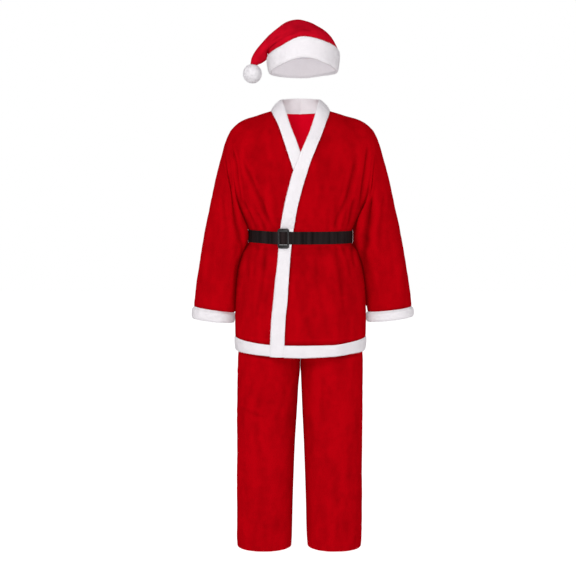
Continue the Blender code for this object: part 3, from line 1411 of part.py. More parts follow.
def main():
    for item in list(bpy.data.objects):
        bpy.data.objects.remove(item, do_unlink=True)
    over = build_front("front_left", 1.0)
    under = build_front("front_right", -1.0)
    back = build_back()
    build_sleeve("sleeve_left", 1.0, over["arm"], back["arm_left"])
    build_sleeve("sleeve_right", -1.0, under["arm"], back["arm_right"])
    build_cuff("cuff_left", 1.0)
    build_cuff("cuff_right", -1.0)
    build_bands(back["neck"], over["wrap"], under["wrap"])
    build_hem("hem_trim_back", 1, back["hem"], 0, ("start", "end"))
    build_hem("hem_trim_left", -1, over["hem"], 1, ("end",))
    build_hem("hem_trim_right", -1, under["hem"], -1, ("end",))
    build_belt()
    build_buckle()
    build_loop("belt_loop_left", 1.0)
    build_loop("belt_loop_right", -1.0)
    build_leg("leg_left", 1.0)
    build_leg("leg_right", -1.0)
    build_waistband()
    build_crown()
    build_hat_band()
    build_pompom()


main()
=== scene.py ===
"""Santa suit dressed in velour, plush and webbing over its solids, in a plain bright studio."""
import math

import bpy
import numpy as np
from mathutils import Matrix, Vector


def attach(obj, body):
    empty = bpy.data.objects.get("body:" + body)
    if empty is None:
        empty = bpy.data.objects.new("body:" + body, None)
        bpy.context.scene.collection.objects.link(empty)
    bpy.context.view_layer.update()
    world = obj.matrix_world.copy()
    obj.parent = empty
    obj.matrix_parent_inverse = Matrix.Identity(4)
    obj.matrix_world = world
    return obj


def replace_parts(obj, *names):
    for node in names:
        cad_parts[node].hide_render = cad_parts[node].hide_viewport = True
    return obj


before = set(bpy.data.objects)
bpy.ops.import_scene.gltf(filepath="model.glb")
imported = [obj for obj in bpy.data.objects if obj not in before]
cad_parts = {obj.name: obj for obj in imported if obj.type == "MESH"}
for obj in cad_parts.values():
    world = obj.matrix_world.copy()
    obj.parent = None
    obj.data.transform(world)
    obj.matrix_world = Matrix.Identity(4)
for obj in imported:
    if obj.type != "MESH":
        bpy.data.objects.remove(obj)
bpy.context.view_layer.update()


def metres(sizes):
    """Sizes written in millimetres, in metres, however they are grouped."""
    return tuple(metres(size) for size in sizes) if isinstance(sizes, tuple) else round(sizes / 1000, 6)


def tube_rows(rows):
    """Folds on a tube, whose heights are written in millimetres and everything else in hundredths."""
    return tuple(tuple(round(v / (1000 if k == 4 else 100), 6) for k, v in enumerate(row)) for row in rows)


# gap between sewn pieces, thickness of the velour, squareness of the trunk's section, half width of the neck,
# and height below the shoulder line over which that section rounds in to it
SEAM = 0.0003
WALL = 0.002
SECTION_POWER = 2.3
NECK_HALF = 0.0895
SHOULDER_DROP = 0.15

# height z, half width of the trunk, front depth, back depth
TRUNK_ROWS = metres((
    (60, 186.5, 96, 98),
    (0, 186.5, 98, 100),
    (-60, 186.5, 104, 108),
    (-120, 186.5, 111, 112),
    (-180, 186.5, 114, 112),
    (-250, 186.5, 116, 110),
    (-295, 186.5, 116, 108),
    (-312, 179.5, 115, 107),
    (-335, 169, 108, 104),
    (-351, 162.5, 104.2, 100),
    (-360.5, 158.3, 103.5, 96.5),
    (-401.5, 158.3, 103.5, 96.5),
    (-411, 164.5, 104.4, 101),
    (-424, 173.5, 110, 107),
    (-444, 181.5, 118, 110),
    (-487, 192, 123, 114),
    (-536, 198.2, 127, 117),
    (-583, 201.2, 129, 119),
    (-650, 202.5, 131, 121),
    (-690, 202.2, 131, 122),
    (-745, 198.2, 130, 120),
))

# distance from the neck middle, height of the shoulder line
SHOULDER_ROWS = metres((
    (0, 43),
    (89.5, 3),
    (115, -4.8),
    (136.1, -12),
    (166.7, -21.2),
    (185.1, -30.3),
    (197.3, -39.4),
    (208, -50),
    (214, -57),
    (230, -80),
))

# height z, distance of the armhole seam from the middle
ARMHOLE_ROWS = metres((
    (-57, 214),
    (-100, 209),
    (-160, 204),
    (-197, 200.5),
    (-258, 192.5),
    (-295, 186.5),
))
ARMHOLE_TOP = -0.057
ARMHOLE_LOW = -0.295
ARMHOLE_MID = (ARMHOLE_TOP + ARMHOLE_LOW) / 2
ARMHOLE_HALF = (ARMHOLE_TOP - ARMHOLE_LOW) / 2
ARMHOLE_DEPTH = 0.066
REACH_STEPS = 24
REACH_MOST = 0.93
# height of the shoulder seam at the neck, and how far the collar seam dips behind the neck
SEAM_TOP = 0.003
NECK_DIP = 0.004
TRUNK_CENTRE = (0, 0, -0.35)

# height z, x of the band seam and of the band's free edge on the over side and the under side
EDGE_ROWS = metres((
    (3, 89.5, 48, -89.5, -48),
    (-15, 84.5, 42.6, -82.5, -41.5),
    (-44.7, 74.2, 33.4, -69.7, -31.8),
    (-83.1, 60.8, 18.5, -56.4, -16.5),
    (-118.9, 45.6, 2.8, -44.4, -3.5),
    (-154.6, 30.6, -11.5, -32.1, 11.5),
    (-190.4, 18, -25.5, -20, 24.5),
    (-226.2, 6, -35.1, -7, 35.1),
    (-261.9, -3, -44.1, 3, 44.1),
    (-297.6, -11.4, -51.3, 11.4, 51.3),
    (-333.4, -17.7, -57.9, 17.7, 57.9),
    (-387, -25.5, -63.6, 25.5, 63.6),
    (-458.6, -32.1, -69.3, 32.1, 69.3),
    (-512.1, -35.7, -75.9, 35.7, 75.9),
    (-565.8, -39, -80.7, 39, 80.7),
    (-619.4, -44.4, -86.4, 44.4, 86.4),
    (-673.1, -47.4, -89.4, 47.4, 89.4),
    (-740, -49, -91.5, 49, 91.5),
))

# bands beside the neck: seam x, seam z, free x, free y, free z
NECK_ROWS = metres((
    (89.5, 3, 58, 0, 37),
    (87, -6, 54.5, -25, 29),
    (83.5, -16.5, 50.5, -45, 16),
    (79.5, -28.5, 46.2, -59, 1),
    (75, -42, 42.5, -69, -14),
))
COLLAR_BACK_LEAN = 0.006
COLLAR_BACK_RISE = 0.009
COLLAR_SEAM_RISE = 0.7
COLLAR_SEAM_GAP = 1.4
COLLAR_CENTRE = (0, 0, 0.02)
COLLAR_LAY = (0, 0, 0.3)

# places across a plush band, the height of its puffed section there, and its share left under the pile
BAND_ACROSS = 0.5 - 0.5 * np.cos(np.linspace(0, math.pi, 17))
PUFF_ROWS = ((0.0, 0.62), (0.06, 0.8), (0.16, 0.9), (0.5, 1.0), (0.84, 0.9), (0.95, 0.74), (1.0, 0.55))
PUFF_END = 0.965
PUFF_END_DROP = 0.35
PUFF_BACK = 0.12
BAND_KEEP = 0.86
BAND_LOW = -0.0035
# share of a hem trim's width over which it leaves its seam, and of any trim's over which its normals do
HEM_LEANS = 0.6
SEWN_NEAR = 0.3
# free edge of a front band: how much lower than its seam it lies where the seam slants, how far and how low
# down the right one is drawn in at the neck, and the depths between which it lies down; then how far past the
# under edge the over side starts to settle, and over what width it does
FREE_LOWER = 0.04
UNDER_NECK_IN = 0.002
UNDER_NECK_LOW = 0.045
NECK_STAND_ENDS = (0.03, 0.062)
OVER_PAST_EDGE = 0.01
OVER_SETTLES = 0.055
# steps over which the slope of a curve is taken, down the trunk and along a tube
SLOPE_STEP = 0.004
TUBE_SLOPE_STEP = 0.01
# front panel rows: share spaced evenly rather than like the section, and where it fades; hold of the shoulder
EVEN_SHARE = 0.45
EVEN_FADES = (2 / 9, 10 / 9)
SHOULDER_HOLD = 0.7
BAND_THICK = 0.0062
BAND_BOW = 0.003
BAND_END_Z = -0.7365
BAND_END_ROWS = 8
BAND_PAST_HEM = 0.0045
# thickness of the bands where the belt presses them, the under band's lift there, and how much
# thinner the trims on the under side are
OVER_PRESSED = 0.0016
UNDER_PRESSED = 0.003
UNDER_PRESSED_LIFT = 0.0015
UNDER_THINNER = 0.0004
OVER_LIFT = 0.0072
CROSS_TOP = -0.06
CROSS_FULL = -0.112
# how far the over side's lift is less than its band's, as it nests on the under band
OVER_NEST = 0.0016

# distance from the middle, height of the line where the panels end and the hem trims begin
HEM_ROWS = metres((
    (0, -701.5),
    (90, -701),
    (157, -695.5),
    (185, -691.5),
    (200, -689),
))
# distance from the middle, height of the lowest edge of the hem trims
HEM_LOW_ROWS = metres((
    (0, -739),
    (90, -736),
    (157, -732.5),
    (185, -731.2),
    (200, -730.5),
))

# soft folds of the front: x0, z0, x1, z1, height, width (troughs are negative)
FRONT_FOLDS = metres((
    (-170, -100, -125, -225, -4.2, 11),
    (-137, -190, -92, -352, -5, 10),
    (-160, -230, -132, -352, 3.6, 11),
    (-176, -190, -150, -345, -3.4, 9),
    (-112, -270, -80, -352, 3, 10),
    (-150, -405, -150, -500, -3.6, 10),
    (-132, -405, -138, -560, 3, 12),
    (-108, -405, -112, -480, -3.2, 9),
    (-170, -560, -140, -680, -3, 13),
    (150, -180, 118, -350, -4.2, 11),
    (172, -130, 150, -345, -3.6, 10),
    (136, -240, 112, -350, 3.6, 11),
    (112, -250, 94, -352, -3, 9),
    (112, -405, 128, -560, -4.2, 11),
    (130, -405, 150, -520, 3.6, 10),
    (145, -405, 165, -620, -3.4, 11),
    (92, -410, 100, -500, 2.4, 12),
    (120, -560, 140, -690, -2.4, 14),
))
# soft folds of the back, the same columns
BACK_FOLDS = metres((
    (-150, -110, -112, -240, -3.6, 12),
    (152, -120, 116, -230, -3.6, 12),
    (-110, -240, -92, -352, -4, 11),
    (-60, -200, -50, -352, 3.6, 13),
    (-16, -230, -12, -352, -3.4, 12),
    (40, -220, 32, -352, 3.6, 13),
    (80, -250, 70, -352, -4, 11),
    (128, -230, 116, -352, 3.2, 11),
    (-120, -405, -138, -560, -4.2, 12),
    (-82, -405, -92, -520, 3.4, 12),
    (-36, -405, -40, -600, -4.2, 13),
    (10, -405, 14, -540, 3.4, 12),
    (58, -405, 66, -620, -4.2, 13),
    (112, -405, 128, -540, -3.6, 12),
))

# sleeve sections from the armhole down: outer x, outer z, inner x, inner z, half depth, set back y,
# how far the front fold and the back of the sleeve lap in past the side of the jacket
SLEEVE_ROWS = metres((
    (223.5, -76, 186.8, -300.5, 66.5, 1, 0, 0),
    (232, -100, 185.2, -308, 67, 2, 1, 1),
    (241, -131, 182.2, -318, 67.5, 3, 3, 3),
    (250, -162, 178, -331, 68, 4, 6, 8),
    (260, -200, 172.8, -348, 68.5, 5, 10, 17),
    (270, -245, 168, -368, 68.5, 6, 15, 27),
    (281, -296, 166.2, -393, 68, 7, 17, 30),
    (293.5, -351, 176.5, -425, 67, 8, 9, 30),
    (303.5, -407, 190.5, -465, 65, 8, 1, 28),
    (313, -462, 197.5, -508, 62.5, 8, 0, 26),
    (321.5, -516, 202, -551, 60, 8, 0, 24),
    (327.5, -562, 205.2, -588, 57.5, 8, 0, 21),
    (331, -596, 207, -613, 55.5, 8, 0, 0),
))
FRONT_LOBE_TURN = 2.42
BACK_LOBE_TURN = 3.84
FRONT_LOBE_WIDTH = 0.3
BACK_LOBE_WIDTH = 0.23
# how much wider the left sleeve gets, and how far the jacket's left side stands out: most at the side, from
# an x that moves out below, and fading above the hem
LEFT_SPREAD = 0.0065
LEFT_REACH = 0.009
LEFT_REACH_START = 0.1
LEFT_REACH_MOVES = 0.07
LEFT_REACH_MOVE = (0.26, 0.4)
LEFT_REACH_ACROSS = 0.13
LEFT_REACH_ENDS = (0.64, 0.76)
# the left sleeve's front fold laps less low down, and the right sleeve reaches further in
LEFT_LAP_FADE = 0.75
RIGHT_REACH_IN = 0.005

# cuff sections: how far along, outer x, outer z, inner x, inner z, outer half depth, wall
CUFF_ROWS = metres((
    (331.8, -596.4, 206.2, -613.4, 56.8, 5),
    (334.8, -601, 203.8, -618, 60, 8.5),
    (336.2, -613.8, 203.9, -630.5, 61.2, 9.6),
    (336.6, -626.2, 205, -641.2, 61, 9.2),
    (334, -632.8, 208, -647, 58, 5),
))
CUFF_SET_BACK = 0.008
LEFT_CUFF_RISE = 0.006
CUFF_COLUMNS = 144
CUFF_STEPS = 17
CUFF_SEWN_FLAT = 0.62

# sleeve folds: along from 0 to 100, around (0 outer, 25 front, 50 inner) at both ends, height, width
SLEEVE_FOLDS = tube_rows((
    (6, 20, 62, 36, -6, 4),
    (4, 27, 55, 43, 3.5, 3.5),
    (2, 11, 45, 20, -2.2, 5),
    (50, 24, 95, 27, -2.8, 4),
    (60, 13, 98, 17, 2.2, 5),
    (62, 33, 96, 36, 2.4, 4),
    (6, 80, 60, 66, -5, 4.5),
    (5, 72, 50, 60, 3, 4),
    (45, 78, 92, 74, -2.8, 4.5),
    (55, 88, 95, 84, 2.2, 5),
))

# trousers: z, outer x and inner x of the wearer's right leg, the same of the left, front, back depth
LEG_ROWS = metres((
    (-390, 154.5, 0, 154.5, 0, 98.5, 91.5),
    (-430, 156, 0, 156, 0, 99, 93),
    (-480, 170, 0, 170, 0, 105, 100),
    (-550, 181, 0, 181, 0, 110, 106),
    (-630, 187, 0, 187, 0, 111, 106),
    (-700, 191, 0, 191.5, 0, 103, 97),
    (-745, 193.4, 0.6, 194, 0.6, 98.5, 92.5),
    (-790, 195.4, 0.9, 195.2, 1.1, 98, 92),
    (-840, 196.4, 5.2, 195.2, 3, 97, 90.5),
    (-920, 197.2, 9.8, 195, 6.2, 94.5, 88.5),
    (-1020, 197.8, 16, 194.8, 11, 91, 86.5),
    (-1120, 198.6, 20, 194.6, 14.8, 86.5, 84),
    (-1220, 199, 23.2, 194.6, 18, 82, 80),
    (-1320, 199.6, 25.6, 194.6, 20.5, 77, 77),
    (-1354, 198.4, 27.4, 192.8, 23.2, 74.5, 74.5),
))
CROTCH = -0.745
LEG_LEVELS = np.concatenate([np.linspace(-0.43, -0.742, 66), np.linspace(-0.7462, -1.353, 124)])
LEG_COLUMNS = 96
LEG_EDGE_FREE = 0.08
LEGS_PART = (0.782, 0.806)
HIP_POWER = 2.3
LEG_POWER = 2.15
LEG_DIP_REACH = 0.0032
# distance of the two legs' panels from the middle where they are sewn together
TOUCH = 0.00002
RISE_START = -0.6

# leg folds: z, around (0 inner, 25 front, 50 outer, 75 back) at both ends, height, width
RIGHT_LEG_FOLDS = tube_rows((
    (-80, 20, -102, 24, 2.2, 4),
    (-98, 40, -116, 36, -3, 2.6),
    (-100, 33, -120, 31, 2.2, 3.5),
    (-78, 8, -105, 12, -2.6, 4),
    (-112, 10, -130, 14, -2.6, 3.5),
    (-90, 37, -93, 27, -2, 3),
    (-80, 70, -110, 74, -3, 3.5),
    (-100, 84, -128, 82, 2.4, 4),
    (-95, 60, -125, 63, 2.2, 3.5),
))
LEFT_LEG_FOLDS = tube_rows((
    (-77, 17, -100, 15, 2.6, 3),
    (-77, 24, -98, 22, -2.8, 2.6),
    (-86, 42, -110, 38, -2.6, 3.2),
    (-110, 36, -130, 39, -3, 3.2),
    (-102, 28, -126, 30, 2.2, 3.5),
    (-120, 14, -132, 20, -1.8, 3.5),
    (-80, 74, -108, 70, -3, 3.5),
    (-102, 60, -128, 64, -2.4, 3.5),
    (-90, 84, -120, 86, 2.4, 4),
))

# belt: middle z, half width and thickness, then the cinched waist's half width and depths, the buckle's x,
# the strap's stand-off, its rise to the sides, and its steps, lanes and rounded edge
BELT_MID = -0.3812
BELT_HALF = 0.0187
BELT_THICK = 0.0015
BELT_W = 0.1583
BELT_F = 0.1035
BELT_B = 0.0965
BUCKLE_X = -0.0503
BELT_STAND = 0.0007
BELT_END_RISE = 0.0034
BELT_LEFT_SHARE = 0.15
BELT_STEP = 0.0015
BELT_TURN = 1.5
BELT_LANES = 15
BELT_EDGE = 0.0004
BELT_CLIMBS = (0.07, 0.155)
# the strap's ends in x, over and under the buckle, and the angles between which its way round is even
STRAP_OVER = (0.033, -0.1081)
STRAP_UNDER = (0.124, -0.0481)
STRAP_OVER_ANGLE = 46
STRAP_UNDER_ANGLE = 37.6
# buckle frame: half width, half height, corner, parts of a corner and of a side, half bar width and how much
# broader the bars are outside
# and inside at the top and low end, squareness, how low it sits, stand off and half thickness
FRAME_HALF_X = 0.01375
FRAME_HALF_Z = 0.0268
FRAME_CORNER = 0.004
FRAME_CORNER_PARTS = 6
FRAME_SIDE_PART = 0.003
FRAME_WIDE = 0.00285
FRAME_OUT_BROAD = 0.12
FRAME_TOP_BROAD = 1.65
FRAME_LOW_BROAD = 2.15
FRAME_POWER = 0.6
FRAME_LOWER = 0.0012
FRAME_STAND = 0.0112
FRAME_THICK = 0.00155
# buckle bar: its ends, where it lies low, half width, stand off, half thickness and rise at its ends
BAR_ENDS = (-0.0252, 0.0232)
BAR_LOW = (-0.0222, 0.0205)
BAR_HALF = 0.002
BAR_STAND = 0.0089
BAR_THICK = 0.001
BAR_END_RISE = 0.0012
# any direction that no thread runs along
THREAD_ASIDE = (0.31, 0.17, 0.93)
# thread loops: reach past the belt, clearance, depth sewn in, turns, sway along and out, thread radius
LOOP_PAST_BELT = 0.0016
LOOP_CLEAR = 0.0006
LOOP_SEWN_IN = 0.0004
LOOP_TURNS = 3.5
LOOP_WIDE = 0.0012
LOOP_OUT = 0.0007
RIGHT_THREAD = 0.00035
LEFT_THREAD = 0.00055
# waistband casing: top and low z, rows, columns, insets of its two faces, ripple
CASING_Z = (-0.393, -0.4296)
CASING_ROWS = 7
CASING_COLUMNS = 288
CASING_INSETS = (WALL + 0.0018, WALL + 0.0042)
CASING_RIPPLE = 0.0005
# path of the belt's outer layer near the buckle: x, stand off
BELT_OVER_ROWS = metres((
    (33, 7.9),
    (20, 7.9),
    (0, 7.9),
    (-15, 7.9),
    (-29, 7.9),
    (-33.5, 7.9),
    (-40, 7.9),
    (-43, 8.5),
    (-46.2, 10.2),
    (-54.4, 10.2),
    (-57.6, 8.5),
    (-60.6, 7.9),
    (-68, 7.9),
    (-74, 6),
    (-83, 3),
    (-96, 0.9),
    (-108, 0.7),
))
# path of the belt's inner end coming round from the wearer's left: x, stand off
BELT_UNDER_ROWS = metres((
    (124, 1.4),
    (106, 3.4),
    (90, 5),
    (74, 6.1),
    (56, 6.1),
    (36, 6.1),
    (18, 6.1),
    (0, 6.1),
    (-18, 6.1),
    (-35, 6.1),
    (-48, 6.1),
))

# hat crown sections above the band: outer x, outer z, inner x, inner z, half depth, set back y,
# how far the front is higher than the back, how far front and back are higher than the sides
CROWN_ROWS = metres((
    (106.2, 200.5, -98.5, 173.5, 101.5, 1, 18, 16),
    (91.8, 223, -99.5, 176.2, 97, 1, 15, 12),
    (74.8, 240, -100.6, 178.2, 91, 2, 10, 8),
    (52.2, 256.2, -101.6, 179.4, 83.5, 2, 6, 4),
    (25.5, 269.2, -102.6, 179.8, 75.5, 1, 3, 1),
    (-10, 277.4, -103.5, 179.4, 67.5, 0, 0, 0),
    (-39.5, 270.4, -104.3, 178, 59, -1, 0, 0),
    (-66, 254.2, -104.9, 175.7, 51, -2, 0, 0),
    (-90.5, 234, -105.3, 172.2, 43, -3, 0, 0),
    (-113.5, 211.7, -105.7, 167.6, 36, -4, 0, 0),
    (-130.5, 192.7, -106.8, 162.2, 30, -4, 0, 0),
    (-142.5, 175.2, -113.5, 155, 24.5, -4, 0, 0),
    (-149.2, 161.2, -123.2, 146.6, 19, -4, 0, 0),
    (-152.6, 145, -132.5, 140.5, 12.5, -4, 0, 0),
))
# hat folds: along from 0 to 100, around from 0 to 100 at both ends, height, width
CROWN_FOLDS = tube_rows((
    (8, 36, 40, 31, -3.4, 4.5),
    (22, 16, 55, 22, -3, 5),
    (16, 27, 42, 24, 3.5, 4.5),
    (60, 38, 90, 35, -2.2, 5),
    (12, 66, 48, 70, -4.5, 5),
    (30, 84, 60, 80, -3, 5),
    (55, 72, 85, 74, 2.2, 6),
))
CROWN_WALL = 0.0018
CROWN_THINNER = 0.88
CROWN_COLUMNS = 120
CROWN_STEPS = 120
CROWN_OVERHANG = 0.0008
# share of the painted seam shade that the crown takes at the band
CROWN_PAINTED_SHADE_SHARE = 0.7

# hat band, eight places round it: angle in degrees from the wearer's left, low z, top z
BAND_RIM_ROWS = (
    (0.0, 0.119, 0.179),
    (45.0, 0.119, 0.177),
    (90.0, 0.114, 0.173),
    (135.0, 0.115, 0.168),
    (180.0, 0.1165, 0.1655),
    (225.0, 0.133, 0.183),
    (270.0, 0.1515, 0.212),
    (315.0, 0.136, 0.197),
    (360.0, 0.119, 0.179),
)
# pompom: its centre, core and plumper outside, rows and columns, then its pile's length, density, lay and
# hair width
POMPOM_CENTRE = (-0.1467, -0.004, 0.1152)
POMPOM_CORE = 0.024
POMPOM_PLUMP = 0.0026
POMPOM_ROWS = 36
POMPOM_COLUMNS = 72
POMPOM_PILE = 0.0032
POMPOM_DENSITY = 3.0e6
POMPOM_LAY = (0, 0, -0.6)
POMPOM_HAIR = 1.7
# crown: share of its length over which its unevenness grows and between which its wall thins, then how far
# its tip stays off the pompom and how narrow it gets there
CROWN_UNEVEN_FROM = 0.1
CROWN_THINS = (0.08, 0.2)
TIP_CLEAR = 0.0002
TIP_SHARE = 0.02
# rows and columns of the jacket's panels, and heights where their fans and hems end
UPPER_STEPS = 60
LOWER_LEVELS = [-0.2992 - 0.0042 * k for k in range(93)]
FRONT_COLUMNS = 84
BACK_ARM_STEPS = 28
BACK_NECK_STEPS = 44
FAN_REACH = 0.153
HEM_SIDE_Z = -0.689
HEM_LEVEL = -0.7

# finer creases of the front: x0, z0, x1, z1, height, width
FRONT_CREASES = metres((
    (-196, -100, -170, -300, -5.5, 6),
    (-184, -70, -152, -210, 3.6, 10),
    (-168, -120, -128, -330, -3.6, 7),
    (-150, -140, -118, -260, 3, 10),
    (-136, -180, -104, -345, -3.6, 7.5),
    (-112, -220, -86, -352, 2.4, 6.5),
    (-92, -190, -66, -352, -2.8, 9),
    (196, -105, 174, -300, -5.5, 6),
    (180, -80, 160, -230, 3.4, 10),
    (166, -130, 134, -330, -3.8, 7.2),
    (146, -150, 116, -290, 3, 10),
    (132, -200, 102, -350, -3.4, 7),
    (98, -270, 88, -352, 2.4, 6),
    (60, -400, 66, -520, -1.4, 7),
    (112, -400, 136, -510, -1.9, 6.5),
    (128, -400, 158, -560, 1.8, 8),
    (20, -440, 26, -640, 1.3, 14),
    (90, -440, 104, -620, -1.4, 10),
    (60, -560, 84, -690, -1.6, 10),
    (10, -600, 40, -690, -1.3, 9),
    (178, -450, 190, -640, 1.4, 9),
    (-178, -450, -190, -640, 1.3, 9),
    (-120, -600, -98, -690, -1.4, 9),
    (-132, -400, -140, -520, -2.2, 6.5),
    (-112, -410, -110, -500, -1.7, 7),
    (-160, -420, -172, -580, -2.2, 7.5),
))
# long folds of the front that the belt draws in: height and width, then z and x of points along them
FRONT_LINES = metres((
    (-4.2, 3, ((-95, -211), (-165, -196), (-211, -191.5), (-255, -185.6), (-290, -180.6))),
    (-4.6, 5,
     ((-130, -178.5), (-165, -167.1), (-206, -149.8), (-252, -130.8), (-299, -111.4), (-329, -95.8),
      (-366, -74.5))),
    (-3.6, 4, ((-262, -180), (-284, -170.8), (-303, -160.9), (-329, -146.7), (-366, -132))),
    (-2.4, 4, ((-300, -130), (-330, -118), (-366, -108))),
    (-4.4, 3.4, ((-95, 197.5), (-163, 191), (-210, 186.5), (-255, 182.5), (-292, 176.4))),
    (-4.6, 5.2, ((-120, 162.5), (-178, 156.1), (-237, 145.1), (-299, 122.1), (-329, 109), (-366, 97))),
    (-3.6, 4, ((-255, 162), (-284, 156.8), (-329, 149.9), (-366, 136.5))),
    (-1.3, 6.2, ((-400, 97), (-446, 104.8), (-492, 119.5), (-568, 126.1), (-640, 137))),
    (-2, 5.2, ((-400, 126), (-455, 140.7), (-510, 153))),
    (-2.6, 3.8, ((-400, 157.5), (-450, 163.2), (-475, 168))),
    (-0.9, 7, ((-400, 50), (-476, 44.5), (-534, 53.2), (-620, 68))),
    (-1.4, 5.2, ((-400, -110.8), (-455, -112), (-505, -114.4), (-568, -126.1), (-640, -136))),
    (-1.8, 4.6, ((-400, -161), (-455, -162.7), (-520, -157))),
    (-1.6, 5, ((-490, -174.5), (-555, -177.3), (-660, -186))),
))
BACK_CREASES = metres((
    (-188, -90, -150, -240, 3, 11),
    (188, -90, 148, -230, 3, 11),
    (-80, -130, -60, -300, 2.7, 15),
    (60, -120, 70, -300, -2.4, 14),
    (6, -80, 10, -220, -2.1, 16),
    (-140, -430, -160, -640, 3, 10),
    (-60, -560, -66, -690, 2.7, 12),
    (88, -430, 100, -640, 3.3, 11),
    (150, -430, 166, -600, -3.6, 8),
    (30, -580, 36, -690, -2.7, 11),
))
# cloth drawn up by the belt: x, reach above, lean above, reach below, lean below, height, width
FRONT_GATHERS = metres((
    (-149, 70, -14, 50, -10, -2.2, 4.7),
    (-140, 52, -10, 78, -8, 2, 4.5),
    (-128, 85, -16, 60, -8, -2.4, 5.2),
    (-115, 50, -8, 40, -5, 1.8, 4.7),
    (-104, 64, -9, 70, -6, -2, 4.5),
    (-90, 36, -4, 30, -3, -1.2, 4.5),
    (52, 30, 3, 40, 4, -0.9, 5.6),
    (78, 42, 4, 34, 4, -1.4, 4.9),
    (93, 60, 8, 62, 8, 1.8, 4.7),
    (105, 80, 11, 84, 12, -2.4, 4.9),
    (117, 50, 9, 52, 8, 2, 4.5),
    (129, 90, 13, 96, 13, -2.4, 4.9),
    (141, 56, 10, 60, 9, 2, 4.5),
    (150, 74, 13, 70, 12, -2.2, 4.5),
))
BACK_GATHERS = metres((
    (-146, 60, -12, 70, -10, -3.2, 4.2),
    (-130, 82, -12, 50, -8, 3, 4.4),
    (-112, 50, -8, 84, -9, -3.5, 4.4),
    (-94, 70, -6, 46, -4, 2.7, 4.6),
    (-74, 40, -4, 72, -5, -2.7, 4.6),
    (-48, 64, -3, 40, -2, 2.4, 5),
    (-24, 36, -1, 60, -1, -2.4, 5),
    (4, 54, 1, 36, 1, 2.2, 5),
    (30, 70, 2, 66, 3, -3, 4.8),
    (56, 40, 4, 48, 3, 2.4, 4.6),
    (80, 76, 6, 74, 6, -3.2, 4.6),
    (102, 48, 7, 44, 6, 2.7, 4.4),
    (122, 80, 11, 80, 10, -3.5, 4.4),
    (144, 58, 12, 56, 10, 3, 4.2),
))

# finer creases of the sleeves, the same columns as the sleeve folds
LEFT_SLEEVE_CREASES = tube_rows((
    (10, 25, 66, 37.5, -2.7, 1.6),
    (16, 21.5, 50, 26, 1.9, 2.5),
    (30, 30, 80, 33, 2.1, 2.3),
    (42, 35, 86, 30, -2.1, 1.8),
    (58, 20, 97, 22.5, -1.9, 2.3),
    (5, 6, 40, 11, 1.7, 3.4),
    (52, 6, 98, 9, -1.7, 3),
    (6, 90, 44, 83, 1.9, 3),
    (20, 66, 62, 60, -2.3, 1.8),
    (36, 70, 84, 66, 2.1, 2.5),
    (54, 82, 96, 79, -2.1, 2.3),
    (60, 56, 97, 60, 1.9, 2.5),
))
RIGHT_SLEEVE_CREASES = tube_rows((
    (8, 24.5, 60, 36.5, -2.5, 1.7),
    (12, 19, 46, 24, 2.1, 2.5),
    (34, 29, 76, 34.5, 1.9, 2.3),
    (44, 36, 90, 31, -2.1, 1.8),
    (55, 17, 98, 20.5, -1.9, 2.5),
    (4, 3, 36, 8, 1.7, 3.2),
    (50, 8, 95, 6, -1.5, 3.2),
    (8, 87, 50, 81, 1.9, 2.8),
    (24, 68, 58, 62, -2.3, 1.8),
    (40, 72, 80, 69, 1.9, 2.8),
    (56, 85, 97, 80, -2.1, 2.3),
    (62, 58, 96, 57, 1.9, 2.5),
))
# long folds of the sleeves, running on from the armholes: height and width, then along and around
LEFT_SLEEVE_LINES = (
    (-0.0044, 0.013,
     ((0.095, 0.12), (0.125, 0.215), (0.16, 0.262), (0.21, 0.302), (0.3, 0.314), (0.42, 0.312))),
    (-0.0088, 0.022,
     ((0.24, 0.308), (0.367, 0.316), (0.461, 0.311), (0.525, 0.317), (0.57, 0.333), (0.606, 0.362),
      (0.64, 0.4), (0.72, 0.45))),
    (-0.003, 0.018, ((0.38, 0.15), (0.419, 0.167), (0.504, 0.208), (0.588, 0.25), (0.7, 0.27))),
)
# painted shadow where the left sleeve lies behind the front: its strength and width, then along and around
LEFT_SLEEVE_PAINTED_SHADOW = (
    (0.9, 0.024,
     ((0.24, 0.3), (0.367, 0.314), (0.461, 0.32), (0.525, 0.33), (0.57, 0.345), (0.606, 0.37),
      (0.64, 0.4), (0.82, 0.43))),
)
RIGHT_SLEEVE_LINES = (
    (-0.007, 0.013,
     ((0.17, 0.11), (0.225, 0.19), (0.249, 0.25), (0.3, 0.296), (0.377, 0.308), (0.461, 0.311),
      (0.518, 0.325), (0.564, 0.342), (0.6, 0.383), (0.67, 0.43))),
    (-0.0028, 0.017, ((0.38, 0.16), (0.411, 0.175), (0.475, 0.208), (0.546, 0.252), (0.68, 0.28))),
)
